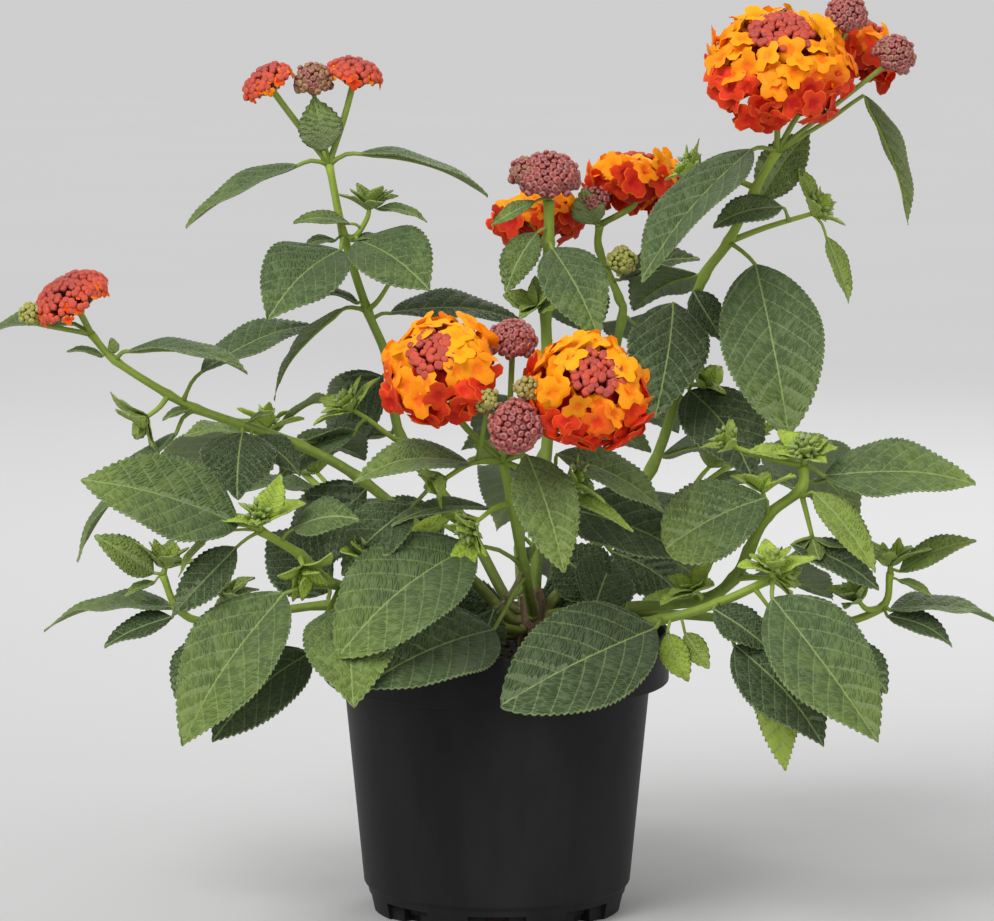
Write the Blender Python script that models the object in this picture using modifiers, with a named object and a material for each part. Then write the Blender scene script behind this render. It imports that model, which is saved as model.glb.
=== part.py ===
"""A lantana in its black plastic nursery pot.

Metres, +Z up. The origin is the centre of the pot's flat underside and the front of the plant looks along -Y.
Tables of places are in millimetres, as (right, back, up) from that origin.
"""

import math

import bmesh
import bpy
from mathutils import Matrix, Vector

MM = 0.001
GAP = 0.3  # room left between neighbouring pieces, mm

# Pot, mm
POT_HEIGHT = 98.0
RIM_RADIUS = 60.0
RIM_BAND = 17.5
BODY_TOP_RADIUS = 53.3
BODY_BOTTOM_RADIUS = 46.5
FOOT_HEIGHT = 9.5
FOOT_RADIUS = 43.5
WALL = 1.6
FLOOR = 2.0
POT_STEPS = 64
FOOT_WALL = 4.4
EDGE_ROUNDING = 0.6
STEP_ROUNDING = 1.2
SHOULDER = 1.6  # half the height of the slope between the foot and the body, on the inside
DRAIN_COUNT = 8
RECESS_WIDTH = 20.0
RECESS_HEIGHT = 6.0
RECESS_DEPTH = 2.4
DRAIN_WIDTH = 8.0
DRAIN_HEIGHT = 5.6
CUT_OVERRUN = 2.0  # how far a cutter passes the faces that it cuts

# Soil and crown, mm
SOIL_TOP = 87.0
SOIL_DOME = 1.0
SOIL_SLACK = 0.45
SOIL_STEPS = 32
DOME_RADIUS = 24.0
SLOPE_RADIUS = 44.0
CROWN_RADII = (5.5, 5.1, 4.0)
CROWN_POINTS = ((12, -2, SOIL_TOP + SOIL_DOME + 0.5), (13, -2, 99), (12, -1, 112))

# Stems: the points that each one passes through, then its radius at the root and at the tip, mm
STEMS = {
    "tall_left_stem": (((3, 0, 109), (-12, 10, 135), (-33, 14, 162), (-38, 14, 190), (-45, 12, 208),
                        (-53, 10, 234), (-58, 10, 259)), 1.9, 1.2),
    "left_stem": (((3, -4, 104), (-20, -6, 128), (-47, -10, 152), (-68, -12, 164), (-87, -14, 171),
                   (-103, -16, 177), (-112, -18, 182), (-130, -20, 194), (-138, -20, 203)), 1.9, 1.1),
    "low_left_stem": (((5, -9, 99), (-19, -35, 110), (-52, -58, 122), (-65, -66, 134),
                       (-78, -72, 143)), 1.8, 1.3),
    "far_left_stem": (((3, -1, 96), (-20, -4, 103), (-58, -10, 108), (-97, -20, 104), (-109, -24, 109),
                       (-114, -26, 121)), 1.7, 1.1),
    "centre_stem": (((13, 6, 108), (15, 14, 134), (18, 20, 169), (17, 20, 208), (18, 18, 231),
                     (18, 16, 246)), 2.1, 1.6),
    "centre_right_stem": (((16, 7, 102), (25, 24, 133), (36, 34, 167), (44, 38, 202), (43, 38, 210),
                           (36, 36, 227), (36, 34, 236)), 1.8, 1.2),
    "front_stem": (((12, -9, 107), (9, -38, 126), (5, -56, 150), (2, -64, 165)), 1.9, 1.5),
    "upper_right_stem": (((19, 4, 107), (36, 10, 128), (54, 16, 152), (64, 18, 183), (67, 16, 204),
                          (72, 14, 220), (80, 10, 232), (89, 4, 251), (96, 0, 264)), 2.2, 1.6),
    "right_stem": (((21, -5, 104), (42, -22, 109), (69, -36, 114), (80, -40, 122), (85, -42, 132),
                    (91, -44, 144), (102, -44, 153), (103, -44, 161)), 2.0, 1.5),
    "far_right_stem": (((20, 0, 96), (49, -6, 104), (83, -16, 104), (111, -24, 103), (131, -28, 110),
                        (134, -28, 122)), 1.7, 1.1),
    "right_front_stem": (((17, -9, 98), (35, -34, 105), (55, -52, 110), (74, -60, 117),
                          (91, -66, 126)), 1.8, 1.3),
    "back_left_stem": (((5, 5, 102), (-25, 42, 116), (-58, 74, 132), (-84, 96, 152)), 1.7, 1.2),
    "back_right_stem": (((20, 6, 97), (44, 42, 116), (70, 76, 134), (94, 98, 148)), 1.7, 1.2),
    "back_stem": (((10, 8, 97), (8, 40, 120), (12, 72, 140), (21, 92, 156)), 1.8, 1.3),
}

# Leaves: stem, point of it, foot of the blade, tip, width, the way the upper side faces, and rise of the
# midrib as a share of the blade's length. Millimetres.
LEAVES = {
    "tall_left_top_left_leaf": ("tall_left_stem", 6, (-69, 7, 259), (-107, -4, 239), 22, (0, -0.12, 1), 0.06),
    "tall_left_top_right_leaf": ("tall_left_stem", 6, (-47, 8, 263), (-3, 4, 249), 22, (0, -0.05, 1), 0.08),
    "tall_left_middle_leaf": ("tall_left_stem", 5, (-54, 2, 230), (-78, -24, 209), 30, (-0.3, -1, 0.8), 0.1),
    "tall_left_low_leaf": ("tall_left_stem", 4, (-54, 8, 209), (-79, -6, 181), 20, (-1, 0.1, 0.7), 0.06),
    "left_top_leaf": ("left_stem", 7, (-125, -24, 198), (-84, -34, 194), 20, (0, -0.1, 1), 0.07),
    "left_outer_leaf": ("left_stem", 8, (-149, -12, 206), (-177, 6, 201), 20, (0, -0.3, 1), 0.08),
    "left_hanging_leaf": ("left_stem", 5, (-110, -18, 169), (-145, -24, 127), 20, (-1, -0.3, 0.6), 0.05),
    "low_left_upper_leaf": ("low_left_stem", 4, (-85, -76, 146), (-135, -88, 163), 29, (0, -1, 0.7), 0.08),
    "low_left_front_leaf": ("low_left_stem", 2, (-70, -76, 123), (-104, -92, 76), 33, (-0.4, -1, 0.5), 0.1),
    "low_left_hanging_leaf": ("low_left_stem", 2, (-50, -69, 118), (-47, -96, 89), 30, (0, -1, 0.4), 0.08),
    "front_left_leaf": ("front_stem", 1, (-8, -58, 136), (-52, -90, 106), 36, (-0.2, -1, 0.6), 0.1),
    "front_long_leaf": ("front_stem", 3, (-9, -68, 165), (-47, -80, 162), 18, (0, -0.5, 1), 0.1),
    "front_centre_leaf": ("front_stem", 3, (10, -71, 168), (22, -88, 132), 21, (0.1, -1, 0.35), 0.1),
    "front_right_leaf": ("front_stem", 1, (22, -44, 147), (67, -54, 131), 26, (0.2, -1, 0.9), 0.06),
    "rim_leaf": ("right_front_stem", 2, (53, -62, 109), (2, -92, 90), 36, (-0.1, -1, 0.5), 0.1),
    "right_front_leaf": ("right_front_stem", 4, (91, -74, 121), (125, -94, 77), 34, (0.3, -1, 0.4), 0.1),
    "centre_leaf": ("centre_stem", 4, (19, 9, 230), (35, -12, 202), 23, (0.2, -1, 0.3), 0.1),
    "upper_right_inner_leaf": ("upper_right_stem", 4, (61, 8, 211), (54, -12, 174), 28, (-0.1, -1, 0.3), 0.1),
    "upper_right_long_leaf": ("upper_right_stem", 8, (87, -4, 265), (48, -32, 223), 30, (-0.4, -0.4, 1),
                              0.06),
    "upper_right_arched_leaf": ("upper_right_stem", 8, (126, 3, 283), (143, 8, 239), 22, (1, 0.3, 0.3), 0.06),
    "upper_right_big_leaf": ("upper_right_stem", 6, (89, 2, 225), (99, -28, 171), 35, (0, -1, 0.25), 0.08),
    "right_outer_leaf": ("right_stem", 7, (110, -46, 158), (160, -52, 158), 26, (0, -0.8, 1), 0.03),
    "right_round_leaf": ("right_stem", 5, (90, -50, 151), (56, -64, 136), 27, (0, -1, 0.5), 0.06),
    "far_right_leaf": ("far_right_stem", 4, (134, -30, 110), (173, -24, 106), 22, (0, -0.15, 1), 0.06),
    "far_left_leaf": ("far_left_stem", 4, (-111, -26, 110), (-156, -20, 104), 22, (0, -0.15, 1), 0.06),
    "back_left_low_leaf": ("back_left_stem", 3, (-90, 102, 152), (-128, 122, 124), 32, (-0.3, 1, 0.8), 0.12),
    "back_left_inner_leaf": ("back_left_stem", 2, (-57, 83, 130), (-48, 126, 104), 31, (0.1, 1, 0.7), 0.14),
    "back_right_low_leaf": ("back_right_stem", 3, (100, 103, 148), (136, 124, 120), 32, (0.3, 1, 0.8), 0.12),
    "back_right_inner_leaf": ("back_right_stem", 2, (69, 85, 132), (58, 130, 104), 31, (-0.1, 1, 0.7), 0.14),
    "back_leaf": ("back_stem", 2, (9, 81, 142), (0, 128, 116), 30, (0, 1, 0.8), 0.14),
}

# Flower heads: stem, point of it, points of the stalk, foot of the head, the way it faces, radius and height.
# Millimetres.
HEADS = {
    "tall_left_outer_flower_head": ("tall_left_stem", 6, ((-68, 8, 272),), (-76, 6, 283),
                                    (-0.55, -0.1, 0.85), 10, 12),
    "tall_left_inner_flower_head": ("tall_left_stem", 6, ((-53, 11, 274),), (-50, 12, 285),
                                    (0.2, -0.1, 1), 10.5, 12),
    "left_flower_head": ("left_stem", 8, (), (-141, -20, 209), (-0.45, -0.25, 0.85), 14, 18),
    "front_left_flower_head": ("front_stem", 3, ((-12, -68, 179),), (-16, -74, 191),
                               (-0.25, -0.75, 0.6), 18.5, 25),
    "front_right_flower_head": ("front_stem", 3, ((15, -66, 176),), (27, -73, 183),
                                (0.2, -0.75, 0.6), 20, 27),
    "front_upper_bud_head": ("front_stem", 3, ((4, -62, 180),), (5, -62, 200), (0, -0.25, 1), 8, 12),
    "front_lower_bud_head": ("front_stem", 3, ((3, -75, 173),), (6, -90, 179), (0, -0.9, 0.35), 8.5, 10),
    "centre_bud_head": ("centre_stem", 5, (), (18, 16, 247.5), (0, -0.25, 1), 10.3, 15),
    "centre_back_flower_head": ("centre_stem", 4, ((17, 34, 232),), (16, 42, 230),
                                (-0.1, 0.35, 0.8), 15, 18),
    "centre_right_flower_head": ("centre_right_stem", 6, (), (48, 34, 243), (0.05, 0.35, 0.93), 17, 19),
    "upper_right_main_flower_head": ("upper_right_stem", 8, (), (96, -2, 279), (0, -0.5, 0.85), 25, 33),
    "upper_right_side_flower_head": ("upper_right_stem", 8, ((106, 14, 278),), (122, 21, 291),
                                     (0.4, 0.35, 0.85),
                                     15, 19),
    "back_flower_head": ("back_stem", 3, ((24, 96, 164),), (27, 98, 168), (0.1, 0.8, 0.6), 16, 19),
}

LEAF_THICKNESS = 0.9
LEAF_ROWS = 10
STALK_SHARE = 0.1  # the part of a leaf's rows that its stalk takes
LEAF_COLUMNS = 2
STALK_HALF_WIDTH = 1.0
TIP_HALF_WIDTH = 0.7
LEAF_FOLD = 0.16  # rise of the leaf's edges over its midrib, as a share of the half width
BLADE_RISE = 0.6  # powers that shape the blade's outline before and past its widest place
BLADE_FALL = 0.9
HEAD_PROFILE = ((0.0, 0.12), (0.14, 0.55), (0.38, 0.95), (0.62, 1.0), (0.85, 0.72), (1.0, 0.22))
HEAD_STALK_RADIUS = 1.0
HEAD_STALK_INSET = 0.6
CURVE_PARTS = 2  # steps between two hand-set points of a stem or stalk
STEM_RESOLUTION = 2
ROUND_RESOLUTION = 3
MERGE_DISTANCE = 1e-5  # metres

COLOURS = {
    "black_plastic": ((0.018, 0.018, 0.02), 0.5),
    "potting_mix": ((0.05, 0.024, 0.015), 0.95),
    "bark": ((0.2, 0.12, 0.06), 0.8),
    "green_stem": ((0.3, 0.42, 0.1), 0.6),
    "leaf_green": ((0.11, 0.19, 0.06), 0.6),
    "orange_petals": ((0.9, 0.22, 0.02), 0.5),
    "mauve_buds": ((0.4, 0.1, 0.13), 0.6),
}


def clear_scene():
    for old in list(bpy.data.objects):
        bpy.data.objects.remove(old, do_unlink=True)


def new_collection(name):
    collection = bpy.data.collections.new(name)
    bpy.context.scene.collection.children.link(collection)
    return collection


def material(name):
    found = bpy.data.materials.get(name)
    if found:
        return found
    colour, roughness = COLOURS[name]
    made = bpy.data.materials.new(name)
    made.use_nodes = True
    shader = made.node_tree.nodes["Principled BSDF"]
    shader.inputs["Base Color"].default_value = (*colour, 1.0)
    shader.inputs["Roughness"].default_value = roughness
    shader.inputs["Metallic"].default_value = 0.0
    return made


def add_object(name, data, collection, finish):
    made = bpy.data.objects.new(name, data)
    data.materials.append(material(finish))
    collection.objects.link(made)
    return made


def turned(name, profile, steps, collection, finish):
    """A solid turned round +Z from (radius, height) points in mm that run down its outer side."""
    bm = bmesh.new()
    verts = [bm.verts.new((r * MM, 0, z * MM)) for r, z in profile]
    for a, b in zip(verts, verts[1:]):
        bm.edges.new((a, b))
    mesh = bpy.data.meshes.new(name)
    bm.to_mesh(mesh)
    bm.free()
    made = add_object(name, mesh, collection, finish)
    screw = made.modifiers.new("Turn", "SCREW")
    screw.steps = screw.render_steps = steps
    screw.use_merge_vertices = True
    screw.merge_threshold = MERGE_DISTANCE
    screw.use_smooth_shade = True
    return made


def body_inner(z):
    """Radius of the inside of the pot's body at height z."""
    share = (z - FOOT_HEIGHT) / (POT_HEIGHT - RIM_BAND - FOOT_HEIGHT)
    return BODY_BOTTOM_RADIUS + share * (BODY_TOP_RADIUS - BODY_BOTTOM_RADIUS) - WALL


def inner_outline(slack):
    """The inside of the pot from the middle of its floor to above the ledge, moved in and up by the slack."""
    ledge = POT_HEIGHT - RIM_BAND
    foot = FOOT_RADIUS - FOOT_WALL
    rim = RIM_RADIUS - WALL
    outline = (
        (foot - STEP_ROUNDING, FLOOR),
        (foot, FLOOR + STEP_ROUNDING),
        (foot, FOOT_HEIGHT - SHOULDER),
        (body_inner(FOOT_HEIGHT), FOOT_HEIGHT + SHOULDER),
        (body_inner(ledge), ledge),
        (body_inner(ledge) + STEP_ROUNDING, ledge + WALL),
        (rim - STEP_ROUNDING, ledge + WALL),
        (rim, ledge + WALL + STEP_ROUNDING),
    )
    return [(0, FLOOR + slack), *((r - slack, z + slack) for r, z in outline)]


def make_pot(collection, cutters):
    ledge = POT_HEIGHT - RIM_BAND
    profile = (
        *inner_outline(0),
        (RIM_RADIUS - WALL, POT_HEIGHT - EDGE_ROUNDING),
        (RIM_RADIUS - WALL / 2, POT_HEIGHT),
        (RIM_RADIUS, POT_HEIGHT - EDGE_ROUNDING),
        (RIM_RADIUS, ledge + EDGE_ROUNDING),
        (RIM_RADIUS - EDGE_ROUNDING, ledge),
        (BODY_TOP_RADIUS + EDGE_ROUNDING, ledge),
        (BODY_TOP_RADIUS, ledge - EDGE_ROUNDING),
        (BODY_BOTTOM_RADIUS, FOOT_HEIGHT),
        (BODY_BOTTOM_RADIUS - STEP_ROUNDING, FOOT_HEIGHT - STEP_ROUNDING),
        (FOOT_RADIUS, EDGE_ROUNDING),
        (FOOT_RADIUS - EDGE_ROUNDING, 0),
        (0, 0),
    )
    pot = turned("nursery_pot", profile, POT_STEPS, collection, "black_plastic")
    back = FOOT_RADIUS - RECESS_DEPTH
    inside = FOOT_RADIUS - FOOT_WALL - CUT_OVERRUN
    recess = ring_of_boxes("recess_cutter", back, RECESS_WIDTH, RECESS_HEIGHT, cutters)
    drain = ring_of_boxes("drain_cutter", inside, DRAIN_WIDTH, DRAIN_HEIGHT, cutters)
    for cutter in (recess, drain):
        cut = pot.modifiers.new(cutter.name, "BOOLEAN")
        cut.operation = "DIFFERENCE"
        cut.solver = "EXACT"
        cut.object = cutter
    return pot


def ring_of_boxes(name, inner, width, height, cutters):
    """Equal boxes round the foot, one at the front, from the inner radius out past the foot."""
    depth = BODY_BOTTOM_RADIUS + CUT_OVERRUN - inner
    bm = bmesh.new()
    for number in range(DRAIN_COUNT):
        turn = math.tau * number / DRAIN_COUNT - math.pi / 2
        box = bmesh.ops.create_cube(bm, size=1.0)["verts"]
        bmesh.ops.scale(bm, vec=Vector((depth, width, 2 * height)) * MM, verts=box)
        bmesh.ops.translate(bm, vec=((inner + depth / 2) * MM, 0, 0), verts=box)
        bmesh.ops.rotate(bm, cent=(0, 0, 0), matrix=Matrix.Rotation(turn, 3, "Z"), verts=box)
    mesh = bpy.data.meshes.new(name)
    bm.to_mesh(mesh)
    bm.free()
    cutter = bpy.data.objects.new(name, mesh)
    cutters.objects.link(cutter)
    cutter.hide_render = True
    cutter.display_type = "WIRE"
    return cutter


def make_soil(collection):
    outer = RIM_RADIUS - WALL - SOIL_SLACK
    profile = (
        (0, SOIL_TOP + SOIL_DOME),
        (DOME_RADIUS, SOIL_TOP + SOIL_DOME),
        (SLOPE_RADIUS, SOIL_TOP),
        (outer - STEP_ROUNDING, SOIL_TOP - EDGE_ROUNDING),
        (outer, SOIL_TOP - EDGE_ROUNDING - STEP_ROUNDING),
        *reversed(inner_outline(SOIL_SLACK)),
    )
    return turned("potting_soil", profile, SOIL_STEPS, collection, "potting_mix")


def smooth_points(points, parts):
    """The hand-set points with the points of a smooth curve through them put in between."""
    if len(points) < 3:
        return list(points)
    ends = [points[0] * 2 - points[1], *points, points[-1] * 2 - points[-2]]
    found = []
    for a, b, c, d in zip(ends, ends[1:], ends[2:], ends[3:]):
        for step in range(parts):
            t = step / parts
            found.append(0.5 * (2 * b + (c - a) * t + (2 * a - 5 * b + 4 * c - d) * t**2
                                + (3 * b - a - 3 * c + d) * t**3))
    return found + [points[-1]]


def tube(name, points, radii, resolution, collection, finish):
    """A round tube along points in mm, with a radius at each one and closed ends."""
    curve = bpy.data.curves.new(name, "CURVE")
    curve.dimensions = "3D"
    curve.bevel_depth = MM
    curve.bevel_resolution = resolution
    curve.use_fill_caps = True
    spline = curve.splines.new("POLY")
    spline.points.add(len(points) - 1)
    for knot, point, radius in zip(spline.points, points, radii):
        knot.co = (*(point * MM), 1.0)
        knot.radius = radius
    return add_object(name, curve, collection, finish)


def tapered(count, first, last):
    return [first + (last - first) * i / (count - 1) for i in range(count)]


def stem_points(name):
    return [Vector(p) for p in STEMS[name][0]]


def stem_radius(name, index):
    points, root, tip = STEMS[name]
    return root + (tip - root) * index / (len(points) - 1)


def make_stem(name, collection):
    points, root, tip = STEMS[name]
    route = smooth_points([Vector(p) for p in points], CURVE_PARTS)
    radii = tapered(len(route), root, tip)
    return tube(name, route, radii, STEM_RESOLUTION, collection, "green_stem")


def make_crown(collection):
    route = [Vector(p) for p in CROWN_POINTS]
    return tube("woody_crown", route, CROWN_RADII, ROUND_RESOLUTION, collection, "bark")


def starting_point(stem, index, towards, half_thickness):
    """Where a piece that grows from a point of a stem starts, clear of the stem's skin."""
    points = stem_points(stem)
    node = points[index]
    along = (points[min(index + 1, len(points) - 1)] - points[max(index - 1, 0)]).normalized()
    heading = (towards - node).normalized()
    if index == len(points) - 1:
        away = heading
    else:
        away = (heading - heading.project(along)).normalized()
    return node + away * (stem_radius(stem, index) + GAP + half_thickness)


def half_width(share, width):
    """Half the width of a pointed oval blade, widest at two fifths of its length."""
    if share <= 0:
        return STALK_HALF_WIDTH
    if share >= 1:
        return TIP_HALF_WIDTH
    peak = BLADE_RISE / (BLADE_RISE + BLADE_FALL)
    top = peak**BLADE_RISE * (1 - peak) ** BLADE_FALL
    return max(TIP_HALF_WIDTH, width / 2 * share**BLADE_RISE * (1 - share) ** BLADE_FALL / top)


def leaf_point(t, start, foot, tip, up, arch):
    """A point of the midrib, t being 0 at the stem and 1 at the tip."""
    if t < STALK_SHARE:
        return start.lerp(foot, t / STALK_SHARE)
    share = (t - STALK_SHARE) / (1 - STALK_SHARE)
    return foot.lerp(tip, share) + up * (4 * arch * (tip - foot).length * share * (1 - share))


def make_leaf(name, collection):
    stem, index, foot, tip, width, face, arch = LEAVES[name]
    foot, tip, face = Vector(foot), Vector(tip), Vector(face)
    start = starting_point(stem, index, foot, STALK_HALF_WIDTH)
    ahead = (tip - foot).normalized()
    up = (face - face.project(ahead)).normalized()
    side = ahead.cross(up)

    bm = bmesh.new()
    bmesh.ops.create_grid(bm, x_segments=LEAF_ROWS, y_segments=LEAF_COLUMNS, size=0.5)
    for vert in bm.verts:
        t, across = vert.co.x + 0.5, 2 * vert.co.y
        share = (t - STALK_SHARE) / (1 - STALK_SHARE)
        half = half_width(share, width)
        fold = LEAF_FOLD * half * abs(across) if share > 0 else 0
        vert.co = (leaf_point(t, start, foot, tip, up, arch) + up * fold + side * (half * across)) * MM
    mesh = bpy.data.meshes.new(name)
    bm.to_mesh(mesh)
    bm.free()
    mesh.shade_smooth()
    leaf = add_object(name, mesh, collection, "leaf_green")
    shell = leaf.modifiers.new("Thickness", "SOLIDIFY")
    shell.thickness = LEAF_THICKNESS * MM
    shell.offset = 0
    return leaf


def make_head(name, collection):
    stem, index, stalk, foot, axis, radius, height = HEADS[name]
    foot, axis = Vector(foot), Vector(axis).normalized()
    first = Vector(stalk[0]) if stalk else foot
    start = starting_point(stem, index, first, HEAD_STALK_INSET)
    route = smooth_points([start, *(Vector(p) for p in stalk), foot], CURVE_PARTS)
    radii = [HEAD_STALK_RADIUS] * (len(route) - 1)
    route = route[:-1]
    for share, size in HEAD_PROFILE:
        route.append(foot + axis * height * share)
        radii.append(radius * size)
    finish = "mauve_buds" if "bud" in name else "orange_petals"
    return tube(name, route, radii, ROUND_RESOLUTION, collection, finish)


def main():
    clear_scene()
    plant = new_collection("lantana")
    cutters = new_collection("cutters")
    make_pot(plant, cutters)
    make_soil(plant)
    make_crown(plant)
    for name in STEMS:
        make_stem(name, plant)
    for name in LEAVES:
        make_leaf(name, plant)
    for name in HEADS:
        make_head(name, plant)


main()
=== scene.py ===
"""The looks of a lantana in its black nursery pot.

It is laid out as an add-on and run as a script. Tables of places are in millimetres, as (right, back, up).
"""

import math
import random

import bmesh
import bpy
from bpy.props import FloatProperty, FloatVectorProperty, IntProperty, PointerProperty
from mathutils import Matrix, Vector, noise


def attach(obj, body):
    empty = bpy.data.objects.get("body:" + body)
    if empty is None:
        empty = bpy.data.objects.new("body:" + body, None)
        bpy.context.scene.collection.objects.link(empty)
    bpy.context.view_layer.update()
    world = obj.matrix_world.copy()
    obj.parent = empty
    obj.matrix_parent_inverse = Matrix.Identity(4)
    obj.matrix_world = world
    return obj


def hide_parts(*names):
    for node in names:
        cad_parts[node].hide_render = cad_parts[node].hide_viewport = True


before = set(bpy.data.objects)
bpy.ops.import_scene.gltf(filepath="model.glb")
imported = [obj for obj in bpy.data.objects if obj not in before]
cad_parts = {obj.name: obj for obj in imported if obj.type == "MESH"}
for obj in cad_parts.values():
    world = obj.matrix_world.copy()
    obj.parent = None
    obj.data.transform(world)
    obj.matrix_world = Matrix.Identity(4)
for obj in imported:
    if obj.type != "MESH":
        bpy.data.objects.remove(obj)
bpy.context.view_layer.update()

bl_info = {
    "name": "Potted lantana",
    "version": (1, 0, 0),
    "blender": (4, 5, 0),
    "location": "3D View > Sidebar > Lantana",
    "description": "Builds a flowering lantana in its nursery pot, piece by piece",
    "category": "Add Mesh",
}

MM = 0.001

# Pot, mm
POT_HEIGHT = 98.0
RIM_RADIUS = 60.0
RIM_BAND = 17.5
BODY_TOP_RADIUS = 53.3
BODY_BOTTOM_RADIUS = 46.5
FOOT_HEIGHT = 9.5
FOOT_RADIUS = 43.5
WALL = 1.6
FLOOR = 2.0
FOOT_WALL = 4.4
EDGE_ROUNDING = 0.6
STEP_ROUNDING = 1.2
SHOULDER = 1.6
BAND_TAPER = 0.2
DRAIN_COUNT = 8
RECESS_WIDTH = 20.0
RECESS_HEIGHT = 6.0
RECESS_DEPTH = 2.4
DRAIN_WIDTH = 8.0
DRAIN_HEIGHT = 5.6
CUT_OVERRUN = 2.0

# Soil and crown, mm
SOIL_TOP = 87.0
SOIL_DOME = 1.0
SOIL_SLACK = 0.45
FLAT_RADIUS = 24.0
SLOPE_RADIUS = 44.0
SOIL_RINGS = 26
CROWN_RADII = (5.5, 5.1, 4.0)
CROWN_POINTS = ((12, -2, 87.5), (13, -2, 99), (12, -1, 112))

# Stems: the points that each one passes through, then its radius at the root and at the tip, mm
STEMS = {
    "tall_left_stem": (((3, 0, 109), (-12, 10, 135), (-33, 14, 162), (-38, 14, 190), (-45, 12, 208),
                        (-53, 10, 234), (-58, 10, 259)), 1.9, 1.2),
    "left_stem": (((3, -4, 104), (-20, -6, 128), (-47, -10, 152), (-68, -12, 164), (-87, -14, 171),
                   (-103, -16, 177), (-112, -18, 182), (-130, -20, 194), (-138, -20, 203)), 1.9, 1.1),
    "low_left_stem": (((5, -9, 99), (-19, -35, 110), (-52, -58, 122), (-65, -66, 134),
                       (-78, -72, 143)), 1.8, 1.3),
    "far_left_stem": (((3, -1, 96), (-20, -4, 103), (-58, -10, 108), (-97, -20, 104), (-109, -24, 109),
                       (-114, -26, 121)), 1.7, 1.1),
    "centre_stem": (((13, 6, 108), (15, 14, 134), (18, 20, 169), (17, 20, 208), (18, 18, 231),
                     (18, 16, 246)), 2.1, 1.6),
    "centre_right_stem": (((16, 7, 102), (25, 24, 133), (36, 34, 167), (44, 38, 202), (43, 38, 210),
                           (36, 36, 227), (36, 34, 236)), 1.8, 1.2),
    "front_stem": (((12, -9, 107), (9, -38, 126), (5, -56, 150), (2, -64, 165)), 1.9, 1.5),
    "upper_right_stem": (((19, 4, 107), (36, 10, 128), (54, 16, 152), (64, 18, 183), (67, 16, 204),
                          (72, 14, 220), (80, 10, 232), (89, 4, 251), (96, 0, 264)), 2.2, 1.6),
    "right_stem": (((21, -5, 104), (42, -22, 109), (69, -36, 114), (80, -40, 122), (85, -42, 132),
                    (91, -44, 144), (102, -44, 153), (103, -44, 161)), 2.0, 1.5),
    "far_right_stem": (((20, 0, 96), (49, -6, 104), (83, -16, 104), (111, -24, 103), (131, -28, 110),
                        (134, -28, 122)), 1.7, 1.1),
    "right_front_stem": (((17, -9, 98), (35, -34, 105), (55, -52, 110), (74, -60, 117),
                          (91, -66, 126)), 1.8, 1.3),
    "back_left_stem": (((5, 5, 102), (-25, 42, 116), (-58, 74, 132), (-84, 96, 152)), 1.7, 1.2),
    "back_right_stem": (((20, 6, 97), (44, 42, 116), (70, 76, 134), (94, 98, 148)), 1.7, 1.2),
    "back_stem": (((10, 8, 97), (8, 40, 120), (12, 72, 140), (21, 92, 156)), 1.8, 1.3),
}

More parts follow.
